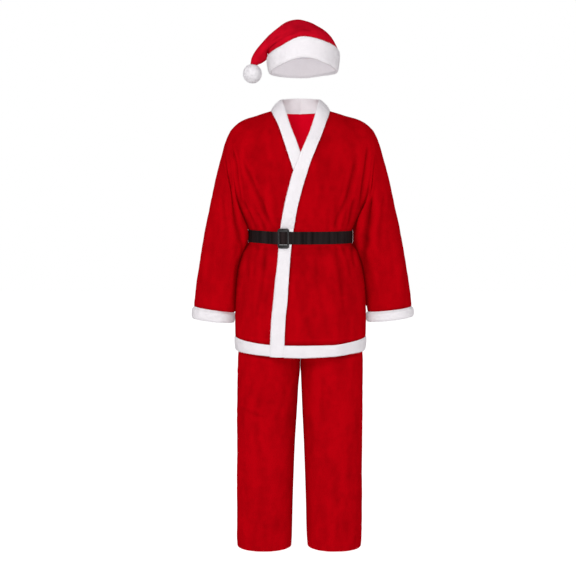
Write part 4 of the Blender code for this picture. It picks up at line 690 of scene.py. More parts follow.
# finer creases of the trousers, the same columns as the leg folds
RIGHT_LEG_CREASES = tube_rows((
    (-77, 26, -90, 33, 2.2, 1.8),
    (-79, 12, -94, 20, -2.2, 1.6),
    (-90, 30, -110, 26, -1.8, 1.8),
    (-104, 22, -120, 20, 2, 2),
    (-114, 26, -133, 30, -2, 2),
    (-118, 42, -134, 40, 2, 2.4),
    (-84, 44, -100, 46, 1.8, 2.6),
    (-78, 78, -96, 82, 2.2, 2),
    (-92, 66, -112, 70, -2, 1.8),
    (-116, 74, -133, 76, -2, 2.2),
    (-108, 90, -126, 88, 1.8, 2.2),
))
LEFT_LEG_CREASES = tube_rows((
    (-76, 20.5, -102, 18.5, -2, 1.4),
    (-80, 32, -98, 29, 2, 2),
    (-92, 12, -110, 10, -1.8, 1.8),
    (-100, 34, -116, 32, -2, 1.8),
    (-106, 20, -124, 24, 2, 2.2),
    (-116, 30, -134, 34, -2, 2),
    (-120, 42, -134, 44, 1.8, 2.4),
    (-80, 82, -100, 78, 2.2, 2),
    (-96, 64, -114, 68, -2, 1.8),
    (-112, 78, -130, 80, -2, 2.2),
    (-90, 92, -110, 90, 1.8, 2.2),
))
# finer creases of the hat, the same columns as the hat folds
CROWN_CREASES = tube_rows((
    (4, 30, 24, 33, 2.6, 2.2),
    (6, 21, 30, 18, -2.9, 2),
    (10, 42, 34, 37, -2.9, 2),
    (30, 26, 60, 30, -2.6, 2.4),
    (44, 14, 74, 18, 2.1, 3),
    (4, 70, 30, 66, 2.6, 2.6),
    (10, 80, 36, 76, -2.9, 2.2),
    (34, 62, 66, 66, -2.3, 2.6),
    (50, 50, 95, 50, 6, 8),
))

RIM_MID_X = 0.0075
RIM_HALF_X = 0.107
RIM_HALF_Y = 0.104
# hat band: thickness, wall and hollow of its inner face, how far its low edge is drawn in and shifted
HAT_BAND_THICK = 0.0062
HAT_BAND_WALL = 0.0018
HAT_BAND_INSIDE = 0.0014
HAT_BAND_DRAW_X = 0.007
HAT_BAND_DRAW_Y = 0.001
HAT_BAND_SHIFT = 0.001
HAT_BAND_LANES = 19
HAT_BAND_COLUMNS = 180
SWELL_ROWS = ((0.0, 0.3), (0.12, 0.85), (0.5, 1.0), (0.86, 0.8), (1.0, 0.25))
# rows down a sleeve, and how square the right sleeve's inner side gets
SLEEVE_STEPS = 124
INNER_FLAT = 2.4
# painted shade from hollows: reach over which a hollow is measured, the depth painted fully dark, and the
# least value, on a ridge, where it paints light instead
HOLLOW_REACH = 0.0085
HOLLOW_DEPTH = 0.0017
HOLLOW_LEAST = -0.4
# how deep the cloth draws in at a seam, how far from it that reaches on backs and sleeves, how far the
# painted shade beside a seam reaches, how much of the depth the backs get, and the reach on fronts and the
# hat
SEAM_DIP = 0.0011
SEAM_DIP_REACH = 0.003
SEAM_PAINTED_SHADE = 0.0065
BACK_DIP_SHARE = 0.7
EDGE_REACH = 0.0036
# distances from the belt's middle between which folds, gathers and pile come free of it
BELT_FOLDS_FREE = (0.021, 0.04)
BELT_GATHERS_FREE = (0.0195, 0.024)
BELT_PILE_FREE = (0.024, 0.03)
BELT_BANDS_FREE = (0.026, 0.046)
# depths of the trunk's section between which its folds and its finer relief fade in from the side seam
SIDE_FOLDS_FREE = (0.004, 0.034)
SIDE_RELIEF_FREE = (0.002, 0.018)
# gathers: distance from the belt's middle, share over which they rise, how fast they end, how much they widen
GATHER_START = 0.02
GATHER_RISE = 0.18
GATHER_FADE = 1.2
GATHER_WIDER = 0.8
# folds along lines: share that fades at each end, then the same for a tube at its start and end, and how much
# its lean counts; power of the fading of short folds
LINE_TAIL = 0.22
TUBE_LINE_START = 0.08
TUBE_LINE_END = 0.35
TUBE_LEAN = 0.7
FOLD_END_POWER = 0.7
# rise of the cloth beside a long fold: its share of the depth, distance and width
RISE_SHARE = 0.3
RISE_AWAY = 2.5
RISE_WIDTH = 1.1
# unevenness of the cloth: height, size, squeeze along z, seed
TRUNK_WAVES = ((0.0007, 0.03, 0.5, 3), (0.0005, 0.014, 1, 5))
SLEEVE_WAVES = ((0.0007, 0.03, 0.6, 11), (0.0005, 0.013, 1, 12))
LEG_WAVES = ((0.0008, 0.034, 0.5, 21), (0.0005, 0.014, 1, 22))
CROWN_WAVES = ((0.0006, 0.026, 1, 41), (0.0004, 0.012, 1, 42))
POMPOM_WAVES = ((0.0003, 0.006, 1, 61),)
POMPOM_WAVES_BALL = 0.02
PLUSH_WAVES = ((0.00018, 0.0085), (0.0001, 0.004))
# plush pile: its density, length and lay, then the hairs' looseness, least share of the length and the most
# that chance adds, least rise, twist of their faces, share pressed flat under the belt, half width and the
# most that chance adds, depth of the root, lean of the shading
PILE_DENSITY = 1.45e6
PILE_LENGTH = 0.0027
PILE_LAY = (0.0, 0.0, -0.5)
HAIR_LOOSE = 0.42
HAIR_SHORTEST = 0.65
HAIR_LONGER = 0.5
HAIR_RISE = 0.35
HAIR_TURN = 0.35
HAIR_PRESSED = 0.85
HAIR_HALF = 0.00022
HAIR_HALF_MORE = 0.0001
HAIR_SUNK = 0.0003
HAIR_SHADE_LEAN = 0.25
PLUSH_INSET = 0.0004
# stitching of the trouser hems: height, depth and width of its groove, then each stitch
HEM_STITCH_Z = -1.3405
HEM_STITCH_DIP = 0.0005
HEM_STITCH_WIDE = 0.0016
STITCH_START = 0.002
STITCH_END_LEFT = 0.006
STITCH_SET_IN = 0.0001
STITCH_STEP = 0.0046
STITCH_LENGTH = 0.0034
STITCH_RISE = (-0.0004, 0.0001, 0.0001, -0.0004)
STITCH_RADIUS = 0.00028
HEM_CENTRE = (0, 0, -0.71)
FLOOR_Z = -1.3563

# lamps: name, place, size, power
LAMPS = (
    ("key", (-1.1, -3.2, 1.5), (1.5, 1.3), 100.0),
    ("front low", (0.3, -3.6, -1.0), (3.0, 1.2), 24.0),
    ("side left", (-3.0, -1.4, 0.2), (1.4, 2.4), 12.0),
    ("side right", (3.0, -1.4, 0.2), (1.4, 2.4), 20.0),
)
FILL_STRENGTH = 0.4
FILL_COLOUR = (1, 0.995, 1, 1)
LAMP_AIM = (0, 0, -0.5)
FLOOR_HALF = 9.0
FLOOR_COLOUR = (0.45, 0.45, 0.455, 1)
FLOOR_GLOW = 0.96
CAMERA_PLACE = (-0.03821, -3.3, -0.25707)
CAMERA_DOWN = 4.9
CAMERA_REACH = 60
LENS = 66.776
SENSOR = 36.0


def pchip(rows, column):
    """A smooth curve through one column of a table of rows, over its first column."""
    xs = np.array([row[0] for row in rows], float)
    ys = np.array([row[column] for row in rows], float)
    if xs[0] > xs[-1]:
        xs = xs[::-1]
        ys = ys[::-1]
    step = np.diff(xs)
    slope = np.diff(ys) / step
    lean = np.zeros(len(xs))
    lean[0] = slope[0]
    lean[-1] = slope[-1]
    for i in range(1, len(xs) - 1):
        if slope[i - 1] * slope[i] > 0:
            w1 = 2 * step[i] + step[i - 1]
            w2 = step[i] + 2 * step[i - 1]
            lean[i] = (w1 + w2) / (w1 / slope[i - 1] + w2 / slope[i])

    def curve(x):
        x = np.clip(np.asarray(x, float), xs[0], xs[-1])
        i = np.clip(np.searchsorted(xs, x, side="right") - 1, 0, len(step) - 1)
        t = (x - xs[i]) / step[i]
        a = (1 + 2 * t) * (1 - t) ** 2 * ys[i] + t * (1 - t) ** 2 * step[i] * lean[i]
        b = t * t * (3 - 2 * t) * ys[i + 1] + t * t * (t - 1) * step[i] * lean[i + 1]
        return a + b

    return curve


def ramp(x, start, end):
    """0 at start, 1 at end, smooth between."""
    t = np.clip((np.asarray(x, float) - start) / (end - start), 0, 1)
    return t * t * (3 - 2 * t)


def slope(line, place, step):
    """How fast a curve changes at a place."""
    return (line(place + step) - line(place - step)) / (2 * step)


def unit(vectors):
    """The same directions at length 1."""
    return vectors / np.maximum(1e-12, np.linalg.norm(vectors, axis=-1, keepdims=True))


def turns(count):
    """Angles evenly round a ring, from 0."""
    return 2 * math.pi * np.arange(count) / count


def squared(share, power):
    """A sine or cosine drawn towards a squarer section, its sign kept."""
    return np.sign(share) * np.abs(share) ** power


def ridge(away):
    """Height of a soft fold across its line, away being the distance over its width."""
    return np.exp(-0.5 * away ** 2)


def trough(away):
    """A fold with a soft rise of the cloth on both sides of it."""
    return ridge(away) - RISE_SHARE * ridge((away - RISE_AWAY) / RISE_WIDTH)


trunk_half = pchip(TRUNK_ROWS, 1)
trunk_front = pchip(TRUNK_ROWS, 2)
trunk_back = pchip(TRUNK_ROWS, 3)
shoulder_line = pchip(SHOULDER_ROWS, 1)
armhole_x = pchip(ARMHOLE_ROWS, 1)
hem_line = pchip(HEM_ROWS, 1)
hem_low = pchip(HEM_LOW_ROWS, 1)
over_seam = pchip(EDGE_ROWS, 1)
over_free = pchip(EDGE_ROWS, 2)
under_seam = pchip(EDGE_ROWS, 3)
under_free = pchip(EDGE_ROWS, 4)
neck_free = [pchip([(row[1], row[k]) for row in NECK_ROWS], 1) for k in (2, 3, 4)]
puff_curve = pchip(PUFF_ROWS, 1)
over_stand = pchip(BELT_OVER_ROWS, 1)
under_stand = pchip(BELT_UNDER_ROWS, 1)
leg_front = pchip(LEG_ROWS, 5)
leg_back = pchip(LEG_ROWS, 6)
band_low_z = pchip(BAND_RIM_ROWS, 1)
band_top_z = pchip(BAND_RIM_ROWS, 2)
hat_band_swell = pchip(SWELL_ROWS, 1)


def drop(x, z):
    """Rounding of the trunk below the shoulder line, 0 at the line and 1 well below it."""
    s = np.clip((shoulder_line(np.abs(x)) - z) / SHOULDER_DROP, 0, 1)
    return np.sqrt(np.clip(1 - (1 - s) ** 2, 0, 1))


def reach_rows():
    """Width the trunk's section would have above the underarm, so that it meets the armhole."""
    rows = []
    for turn in math.pi * np.arange(1, REACH_STEPS) / REACH_STEPS:
        z = ARMHOLE_MID + ARMHOLE_HALF * math.cos(turn)
        x = float(armhole_x(z))
        share = min(REACH_MOST, ARMHOLE_DEPTH * math.sin(turn) / (float(trunk_front(z)) * float(drop(x, z))))
        rows.append((z, x / (1 - share ** SECTION_POWER) ** (1 / SECTION_POWER)))
    rows.append((ARMHOLE_LOW, float(armhole_x(ARMHOLE_LOW))))
    return rows


reach_upper = pchip(reach_rows(), 1)


def section_half(z):
    z = np.asarray(z, float)
    return np.where(z > ARMHOLE_LOW, reach_upper(z), trunk_half(z))


def off_belt(z, reach):
    """0 at the belt and 1 above and below it, turning between the two distances of reach."""
    return ramp(np.abs(z - BELT_MID), *reach)


def skin_y(side, x, z):
    """How far forward (side -1) or back (side +1) the trunk's outer face lies."""
    depth = trunk_front(z) if side < 0 else trunk_back(z)
    share = np.clip(1 - (np.abs(x) / section_half(z)) ** SECTION_POWER, 0, 1)
    return side * depth * drop(x, z) * share ** (1 / SECTION_POWER)


def line_folds(rows, x, z):
    """Height of the soft folds at x, z: a ridge or a trough along each row's line."""
    total = np.zeros(np.broadcast(x, z).shape)
    for x0, z0, x1, z1, height, width in rows:
        dx = x1 - x0
        dz = z1 - z0
        length = math.hypot(dx, dz)
        along = ((x - x0) * dx + (z - z0) * dz) / length ** 2
        away = ((x - x0) * dz - (z - z0) * dx) / length
        total = total + height * fold_fade(along) * ridge(away / width)
    return total


def trunk_folds(side, x, z):
    rows = FRONT_FOLDS if side < 0 else BACK_FOLDS
    free = ramp(np.abs(skin_y(side, x, z)), *SIDE_FOLDS_FREE)
    return line_folds(rows, x, z) * free * off_belt(z, BELT_FOLDS_FREE)


def grid_normals(points, ghosts=()):
    """Normals of a grid of points. A side named in ghosts is mirrored there in the plane y = 0."""
    rows, cols = points.shape[:2]
    big = np.zeros((rows + 2, cols + 2, 3))
    big[1:-1, 1:-1] = points
    borders = (
        ("top", (0, slice(1, -1)), points[0], points[1]),
        ("low", (-1, slice(1, -1)), points[-1], points[-2]),
        ("start", (slice(1, -1), 0), points[:, 0], points[:, 1]),
        ("end", (slice(1, -1), -1), points[:, -1], points[:, -2]),
    )
    for side, place, edge, beside in borders:
        big[place] = beside * (1.0, -1.0, 1.0) if side in ghosts else 2 * edge - beside
    if "ring" in ghosts:
        big[1:-1, 0] = points[:, -1]
        big[1:-1, -1] = points[:, 0]
    across = big[1:-1, 2:] - big[1:-1, :-2]
    down = big[2:, 1:-1] - big[:-2, 1:-1]
    return unit(np.cross(down, across))


def outward(normals, points, centre):
    """Turn a whole grid of normals so that it points away from the centre."""
    away = np.sum(normals * (points - np.array(centre)))
    return normals if away > 0 else -normals


def left_reach(points):
    """The jacket hangs a little fuller on the wearer's left: push that side out, smoothly."""
    moved = np.array(points, float)
    start = LEFT_REACH_START + LEFT_REACH_MOVES * ramp(-moved[:, 2], *LEFT_REACH_MOVE)
    share = ramp(moved[:, 0] - start, 0.0, LEFT_REACH_ACROSS)
    low = 1 - ramp(-moved[:, 2], *LEFT_REACH_ENDS)
    moved[:, 0] += LEFT_REACH * share * low
    return moved


def clouds(points, size, seed):
    """Smooth uneven values from -1 to 1 over the points, about size metres from high to low."""
    place = np.asarray(points, float) / size + seed * 17.31
    cell = np.floor(place).astype(np.int64)
    part = place - cell
    part = part * part * (3 - 2 * part)
    total = np.zeros(place.shape[:-1])
    for corner in range(8):
        step = np.array([corner & 1, corner >> 1 & 1, corner >> 2 & 1])
        spot = cell + step
        mix = (spot[..., 0] * 374761393 + spot[..., 1] * 668265263 + spot[..., 2] * 1274126177) & 0xFFFFFFFF
        mix = ((mix ^ (mix >> 13)) * 1103515245) & 0xFFFFFFFF
        value = ((mix ^ (mix >> 16)) & 0xFFFF) / 32767.5 - 1
        weight = np.prod(np.where(step == 1, part, 1 - part), axis=-1)
        total = total + value * weight
    return total


def bumps(points, waves):
    """Soft unevenness of the cloth: the height, size, squeeze along z and seed of each of its waves."""
    return sum(height * clouds(points * (1, 1, squeeze), size, seed) for height, size, squeeze, seed in waves)


def gathers(rows, x, z):
    """Short folds fanning from the belt, strongest beside it."""
    total = np.zeros(np.broadcast(x, z).shape)
    for x0, up, lean_up, down, lean_down, height, width in rows:
        for sign, reach, lean in ((1.0, up, lean_up), (-1.0, down, lean_down)):
            along = (sign * (z - BELT_MID) - GATHER_START) / reach
            share = np.clip(along, 0, 1)
            fade = ramp(along, 0.0, GATHER_RISE) * (1 - share) ** GATHER_FADE
            wide = width * (1 + GATHER_WIDER * share)
            total = total + height * fade * ridge((x - x0 - lean * share) / wide)
    return total


def long_folds(rows, x, z):
    """Troughs along curved lines, given by z and x of points down each."""
    total = np.zeros(np.broadcast(x, z).shape)
    for height, width, points in rows:
        line = pchip(points, 1)
        high = points[0][0]
        low = points[-1][0]
        lean = slope(line, z, SLOPE_STEP)
        away = np.abs(x - line(z)) / np.sqrt(1 + lean ** 2) / width
        tail = LINE_TAIL * (high - low)
        total = total + height * ramp(high - z, 0.0, tail) * ramp(z - low, 0.0, tail) * trough(away)
    return total


def cloth_relief(side, x, z):
    """All folds of the trunk, large and small, and the soft unevenness of the cloth."""
    small = FRONT_CREASES if side < 0 else BACK_CREASES
    drawn = FRONT_GATHERS if side < 0 else BACK_GATHERS
    free = ramp(np.abs(skin_y(side, x, z)), *SIDE_RELIEF_FREE)
    belt = off_belt(z, BELT_FOLDS_FREE)
    near = off_belt(z, BELT_GATHERS_FREE)
    spots = np.stack([x, np.full(np.broadcast(x, z).shape, side * 0.1), z], axis=-1)
    relief = line_folds(small, x, z) * belt + gathers(drawn, x, z) * near + bumps(spots, TRUNK_WAVES) * belt
    if side < 0:
        relief = relief + long_folds(FRONT_LINES, x, z) * near
    return relief * free + trunk_folds(side, x, z)


def edge_dip(points, sides, reach=EDGE_REACH):
    """Weight of the sewn edges, used for how much the cloth draws in there and for the painted shade beside
    them: 1 at the edge, fading over reach.
    """
    down = np.linalg.norm(np.diff(points, axis=0), axis=2)
    across = np.linalg.norm(np.diff(points, axis=1), axis=2)
    zero_row = np.zeros((1, points.shape[1]))
    zero_column = np.zeros((points.shape[0], 1))
    far = {
        "top": np.vstack([zero_row, np.cumsum(down, axis=0)]),
        "low": np.vstack([np.cumsum(down[::-1], axis=0)[::-1], zero_row]),
        "start": np.hstack([zero_column, np.cumsum(across, axis=1)]),
        "end": np.hstack([np.cumsum(across[:, ::-1], axis=1)[:, ::-1], zero_column]),
    }
    dip = np.zeros(points.shape[:2])
    for side in sides:
        dip = np.maximum(dip, np.exp(-((far[side] / reach) ** 2)))
    return dip


def link_piece(name, mesh):
    """The mesh as a piece of the suit, riding on its one body."""
    item = bpy.data.objects.new(name, mesh)
    bpy.context.scene.collection.objects.link(item)
    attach(item, "root")
    return item


def hang(item, name):
    """The piece stands in for its solid, whose own mesh is hidden."""
    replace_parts(item, name)


def add_piece(name, verts, faces, finish, sharp=55, lining=None):
    """A piece from its points and blocks of faces, turned outward; the second block takes the lining."""
    verts = left_reach(verts)
    volume = 0.0
    for block in faces:
        first = verts[block[:, 0]]
        for k in range(1, block.shape[1] - 1):
            volume += np.sum(first * np.cross(verts[block[:, k]], verts[block[:, k + 1]]))
    lists = []
    for block in faces:
        lists.extend((block[:, ::-1] if volume < 0 else block).tolist())
    mesh = bpy.data.meshes.new(name)
    mesh.from_pydata(verts.tolist(), [], lists)
    mesh.shade_smooth()
    mesh.set_sharp_from_angle(angle=math.radians(sharp))
    mesh.materials.append(finish)
    if lining:
        mesh.materials.append(lining)
        inside = np.zeros(len(lists), dtype=np.int32)
        inside[len(faces[0]):len(faces[0]) + len(faces[1])] = 1
        mesh.polygons.foreach_set("material_index", inside)
    return link_piece(name, mesh)


def hollows(outer, inner, ring):
    """How deep each point lies below the cloth just round it, 1 in a sharp fold and below 0 on a ridge. The
    velour paints shade by it, and paints light where it is below 0.
    """
    across = np.linalg.norm(np.diff(outer, axis=1), axis=2).mean()
    down = np.linalg.norm(np.diff(outer, axis=0), axis=2).mean()
    level = outer
    for axis, gap in ((1, across), (0, down)):
        reach = max(1, int(round(HOLLOW_REACH / gap)))
        pad = [(0, 0)] * 3
        pad[axis] = (reach, reach)
        wide = np.pad(level, pad, mode="wrap" if ring and axis else "edge")
        level = sum(np.take(wide, range(k, k + outer.shape[axis]), axis=axis) for k in range(2 * reach + 1))
        level = level / (2 * reach + 1)
    depth = np.sum((level - outer) * unit(outer - inner), axis=2)
    return np.clip(depth / HOLLOW_DEPTH, HOLLOW_LEAST, 1.0)


def quads_of(index):
    """Four-sided faces between the rows and columns of a grid of point numbers."""
    return np.stack([index[:-1, :-1], index[:-1, 1:], index[1:, 1:], index[1:, :-1]], axis=2).reshape(-1, 4)


def shell(name, outer, inner, finish=None, ring=False, lining=None, deep=0.0):
    """A closed wall between two grids of points; ring joins the last column to the first.
    The outer points carry a painted fold shade from their hollows, and deep adds more painted shade to it."""
    rows, cols = outer.shape[:2]
    count = rows * cols
    index = np.arange(count).reshape(rows, cols)
    if ring:
        index = np.hstack([index, index[:, :1]])
    quads = quads_of(index)
    top, low, start, end = index[0], index[-1], index[:, 0], index[:, -1]
    rims = [(top[1:], top[:-1]), (low[:-1], low[1:])]
    if not ring:
        rims += [(start[:-1], start[1:]), (end[1:], end[:-1])]
    faces = [quads, quads[:, ::-1] + count]
    faces += [np.stack([first, then, then + count, first + count], axis=1) for first, then in rims]
    verts = np.vstack([outer.reshape(-1, 3), inner.reshape(-1, 3)])
    item = add_piece(name, verts, faces, finish or VELOUR, lining=lining or KNIT_BACK)
    # painted shade: the velour is darker where this value is high, and lighter where it is below 0
    depth = item.data.attributes.new("painted fold shade", "FLOAT", "POINT")
    values = (hollows(outer, inner, ring) + deep).ravel()
    depth.data.foreach_set("value", np.concatenate([values, np.zeros(count)]))
    return item


def sweep(name, rings, finish, closed=False, sharp=55):
    """A solid swept through closed sections (stations x section), with flat ends unless closed."""
    stations, count = rings.shape[:2]
    index = np.arange(stations * count).reshape(stations, count)
    index = np.hstack([index, index[:, :1]])
    if closed:
        index = np.vstack([index, index[:1]])
    faces = [quads_of(index)]
    verts = rings.reshape(-1, 3)
    if not closed:
        base = len(verts)
        verts = np.vstack([verts, rings[0].mean(axis=0), rings[-1].mean(axis=0)])
        first, last = index[0], index[-1]
        faces.append(np.stack([first[1:], first[:-1], np.full(count, base)], axis=1))
        faces.append(np.stack([last[:-1], last[1:], np.full(count, base + 1)], axis=1))
    return add_piece(name, verts, faces, finish, sharp)


def pile(name, skin, normals, density, length, seed, lay=PILE_LAY, thick=1.0, finish=None):
    """Plush pile on a grid of skin points: slim hairs, laid the way the cloth is brushed."""
    rng = np.random.default_rng(seed)
    a, b, c, d = skin[:-1, :-1], skin[:-1, 1:], skin[1:, 1:], skin[1:, :-1]
    area = np.linalg.norm(np.cross(c - a, d - b), axis=2) / 2
    count = int(area.sum() * density)
    cells = rng.choice(area.size, size=count, p=(area / area.sum()).ravel())
    j, i = np.unravel_index(cells, area.shape)
    u = rng.random((count, 1))
    v = rng.random((count, 1))

    def blend(grid):
        top = grid[j, i] * (1 - u) + grid[j, i + 1] * u
        low = grid[j + 1, i] * (1 - u) + grid[j + 1, i + 1] * u
        return top * (1 - v) + low * v

    root = blend(skin)
    normal = unit(blend(normals))
    way = normal + np.array(lay) + rng.normal(size=(count, 3)) * HAIR_LOOSE
    way = unit(way - normal * np.minimum(0, np.sum(way * normal, axis=1, keepdims=True) - HAIR_RISE))
    side = unit(np.cross(way, normal + rng.normal(size=(count, 3)) * HAIR_TURN))
    held = 1 - ramp(np.abs(root[:, 2:] - BELT_MID), *BELT_PILE_FREE)
    tall = length * (HAIR_SHORTEST + HAIR_LONGER * rng.random((count, 1))) * (1 - HAIR_PRESSED * held)
    half = side * thick * (HAIR_HALF + HAIR_HALF_MORE * rng.random((count, 1)))
    sunk = root - normal * HAIR_SUNK
    verts = left_reach(np.stack([sunk - half, sunk + half, root + way * tall], axis=1).reshape(-1, 3))
    mesh = bpy.data.meshes.new(name)
    mesh.vertices.add(3 * count)
    mesh.vertices.foreach_set("co", verts.ravel())
    mesh.loops.add(3 * count)
    mesh.loops.foreach_set("vertex_index", np.arange(3 * count))
    mesh.polygons.add(count)
    mesh.polygons.foreach_set("loop_start", np.arange(0, 3 * count, 3))
    mesh.update(calc_edges=True)
    mesh.shade_smooth()
    soft = unit(normal + way * HAIR_SHADE_LEAN)
    mesh.normals_split_custom_set_from_vertices(np.repeat(soft, 3, axis=0).tolist())
    mesh.materials.append(finish or PLUSH)
    return link_piece(name, mesh)


def plush(name, rings, lanes, closed, seed, lay=PILE_LAY, length=PILE_LENGTH):
    """A plush trim: its sewn body, uneven like brushed cloth, and the pile on the lanes that show."""
    normals = tube_normals(rings, closed)
    uneven = bumps(rings, [(height, size, 1, seed + k) for k, (height, size) in enumerate(PLUSH_WAVES)])
    body = rings + normals * (uneven - PLUSH_INSET)[..., None]
    item = sweep(name + "_plush", body, PLUSH, closed)
    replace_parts(item, name)
    skin = body[:, list(lanes)]
    facing = normals[:, list(lanes)]
    if closed:
        skin = np.concatenate([skin, skin[:1]], axis=0)
        facing = np.concatenate([facing, facing[:1]], axis=0)
    hairs = pile(name + "_pile", skin, facing, PILE_DENSITY, length, seed, lay)


def over_rise(x, z):
    """How far the over side stands off the under side, from 0 (alone) to 1 (on top of it)."""
    down = ramp(-np.asarray(z, float), -CROSS_TOP, -CROSS_FULL)
    edge = under_free(z) + OVER_PAST_EDGE
    return down * (1 - ramp(x, edge, edge + OVER_SETTLES))


def free_point(hand, z):
    """Where the free edge lies across the band from its seam at height z, and how far it stands up."""
    seam = over_seam if hand > 0 else under_seam
    free = over_free if hand > 0 else under_free
    lean = float(slope(seam, z, SLOPE_STEP))
    low_z = z + FREE_LOWER * abs(lean) / math.sqrt(1 + lean * lean)
    low_x = float(free(low_z))
    low = np.array([low_x, float(skin_y(-1, np.array(low_x), np.array(low_z))), low_z])
    shift = 0.0 if hand > 0 else -UNDER_NECK_IN * float(ramp(-z, 0.0, UNDER_NECK_LOW))
    free_x, free_y, free_z = (float(line(z)) for line in neck_free)
    up = np.array([hand * (free_x + shift), free_y, free_z])
    stand = 1 - float(ramp(-z, *NECK_STAND_ENDS))
    return low * (1 - stand) + up * stand, stand


def smooth_rows(grid, fine):
    """More rows through a short stack of rows, evenly spaced; also how far along each lies (0..1)."""
    gaps = np.linalg.norm(np.diff(grid, axis=0), axis=2).mean(axis=1)
    place = np.concatenate([[0.0], np.cumsum(gaps)])
    want = np.linspace(0.0, place[-1], fine)
    k = np.clip(np.searchsorted(place, want, side="right") - 1, 0, len(gaps) - 1)
    slope = np.diff(grid, axis=0) / gaps[:, None, None]
    lean = np.zeros(grid.shape)
    lean[0] = slope[0]
    lean[-1] = slope[-1]
    near = gaps[:-1, None, None]
    far = gaps[1:, None, None]
    lean[1:-1] = (slope[:-1] * far + slope[1:] * near) / (near + far)
    step = gaps[k]
    t = (want - place[k]) / step
    share = t[:, None, None]
    step = step[:, None, None]
    first = (1 + 2 * share) * (1 - share) ** 2 * grid[k] + share * (1 - share) ** 2 * step * lean[k]
    second = share ** 2 * (3 - 2 * share) * grid[k + 1] + share ** 2 * (share - 1) * step * lean[k + 1]
    return first + second, (k + t) / len(gaps)


def panel_rows(hem_x):
    """A panel's rows from its shoulder seam to its hem: how far down, x and z of the outer end,
    z of the inner end. hem_x is where the inner end meets the hem."""
    rows = []
    for far in np.arange(UPPER_STEPS + 1) / UPPER_STEPS:
        z_out = ARMHOLE_MID + ARMHOLE_HALF * math.cos(math.pi * far)
        z_in = SEAM_TOP - (SEAM_TOP - ARMHOLE_LOW) * (1 - math.cos(math.pi * far)) / 2
        rows.append((float(far), float(armhole_x(z_out)), z_out, z_in))
    for z in LOWER_LEVELS:
        rows.append((1 + (ARMHOLE_LOW - z) / FAN_REACH, float(trunk_half(z)), z, z))
    x_out = float(trunk_half(HEM_SIDE_Z))
    rows.append((2.0, x_out, float(hem_line(x_out)), float(hem_line(hem_x))))
    return rows


def front_grid(hand):
    """x and z of a front panel's grid: rows fan from the shoulder seam to the hem."""
    seam = over_seam if hand > 0 else under_seam
    xs = []
    zs = []
    power = SECTION_POWER / 2
    v = np.arange(FRONT_COLUMNS + 1) / FRONT_COLUMNS
    rows = panel_rows(abs(float(seam(HEM_LEVEL))))
    for far, x_out, z_out, z_in in rows:
        x_in = float(seam(z_in)) + hand * SEAM / 2
        a_out = math.acos(min(1.0, x_out / float(section_half(z_out))) ** power)
        a_start = math.acos(min(1.0, abs(x_in) / float(section_half(z_in))) ** power)
        if x_in * hand < 0:
            a_start = math.pi - a_start
        c = squared(np.cos(a_start + (a_out - a_start) * v), 1 / power)
        even = EVEN_SHARE * (1 - float(ramp(far, *EVEN_FADES)))
        f = (1 - even) * (c - c[0]) / (c[-1] - c[0]) + even * v
        x = x_in + (hand * x_out - x_in) * f
        z = z_in + (z_out - z_in) * f
        if far < 1:
            z = z + (shoulder_line(np.abs(x)) - SEAM_TOP - (ARMHOLE_TOP - SEAM_TOP) * f) * shoulder_hold(far)
        xs.append(x)
        zs.append(z)
    zs[-1] = hem_line(np.abs(xs[-1]))
    return np.array(xs), np.array(zs)


def neck_seam_z(x):
    """Height of the collar seam across the back of the neck."""
    across = np.minimum(1.0, np.abs(x) / NECK_HALF)
    return SEAM_TOP - NECK_DIP * np.sqrt(np.maximum(0.0, 1 - across ** 2))


def shoulder_hold(far):
    """How strongly a panel's row follows the shoulder line, 1 at the seam."""
    return 1 - float(ramp(far, 0.0, SHOULDER_HOLD))


def back_grid():
    """x and z of the back panel's grid, from the wearer's right side to the left side."""
    xs = []
    zs = []
    neck = np.arange(BACK_NECK_STEPS // 2 + 1) / (BACK_NECK_STEPS // 2)
    arm = np.arange(1, BACK_ARM_STEPS + 1) / BACK_ARM_STEPS
    for far, x_out, z_out, z_in in panel_rows(NECK_HALF):
        low = float(ramp(far, 1 / 9, 10 / 9))
        f = neck * low + np.sin(neck * math.pi / 2) * (1 - low)
        g = np.sin(arm * math.pi / 2) * low + arm * (1 - low)
        x = np.concatenate([NECK_HALF * f, NECK_HALF + (x_out - NECK_HALF) * g])
        z = np.concatenate([np.full(len(f), z_in), z_in + (z_out - z_in) * g])
        if far < 1:
            share = (x - NECK_HALF) / (x_out - NECK_HALF)
            beside = shoulder_line(x) - SEAM_TOP - (ARMHOLE_TOP - SEAM_TOP) * share
            z = z + np.where(x > NECK_HALF, beside, neck_seam_z(x) - SEAM_TOP) * shoulder_hold(far)
        xs.append(np.concatenate([-x[:0:-1], x]))
        zs.append(np.concatenate([z[:0:-1], z]))
    zs[-1] = hem_line(np.abs(xs[-1]))
    return np.array(xs), np.array(zs)


def clad(side, xs, zs, ghosts, low, top):
    """Two grids of points over the trunk: at its folded skin plus low, and plus top."""
    base = np.stack([xs, skin_y(side, xs, zs), zs], axis=2)
    normals = outward(grid_normals(base, ghosts), base, TRUNK_CENTRE)
    folded = base + normals * cloth_relief(side, xs, zs)[..., None]
    normals = outward(grid_normals(folded, ghosts), folded, TRUNK_CENTRE)
    outer = folded + normals * np.broadcast_to(top, xs.shape)[..., None]
    inner = folded + normals * np.broadcast_to(low, xs.shape)[..., None]
    return outer, inner, normals


def part_armhole(outer, inner, column, hand):
    """Let the wall end at the armhole without leaning past it."""
    lean = inner[: UPPER_STEPS + 1, column] - outer[: UPPER_STEPS + 1, column]
    lean[:, 0] = np.where(lean[:, 0] * hand > 0, 0.0, lean[:, 0])
    inner[: UPPER_STEPS + 1, column] = outer[: UPPER_STEPS + 1, column] + unit(lean) * WALL


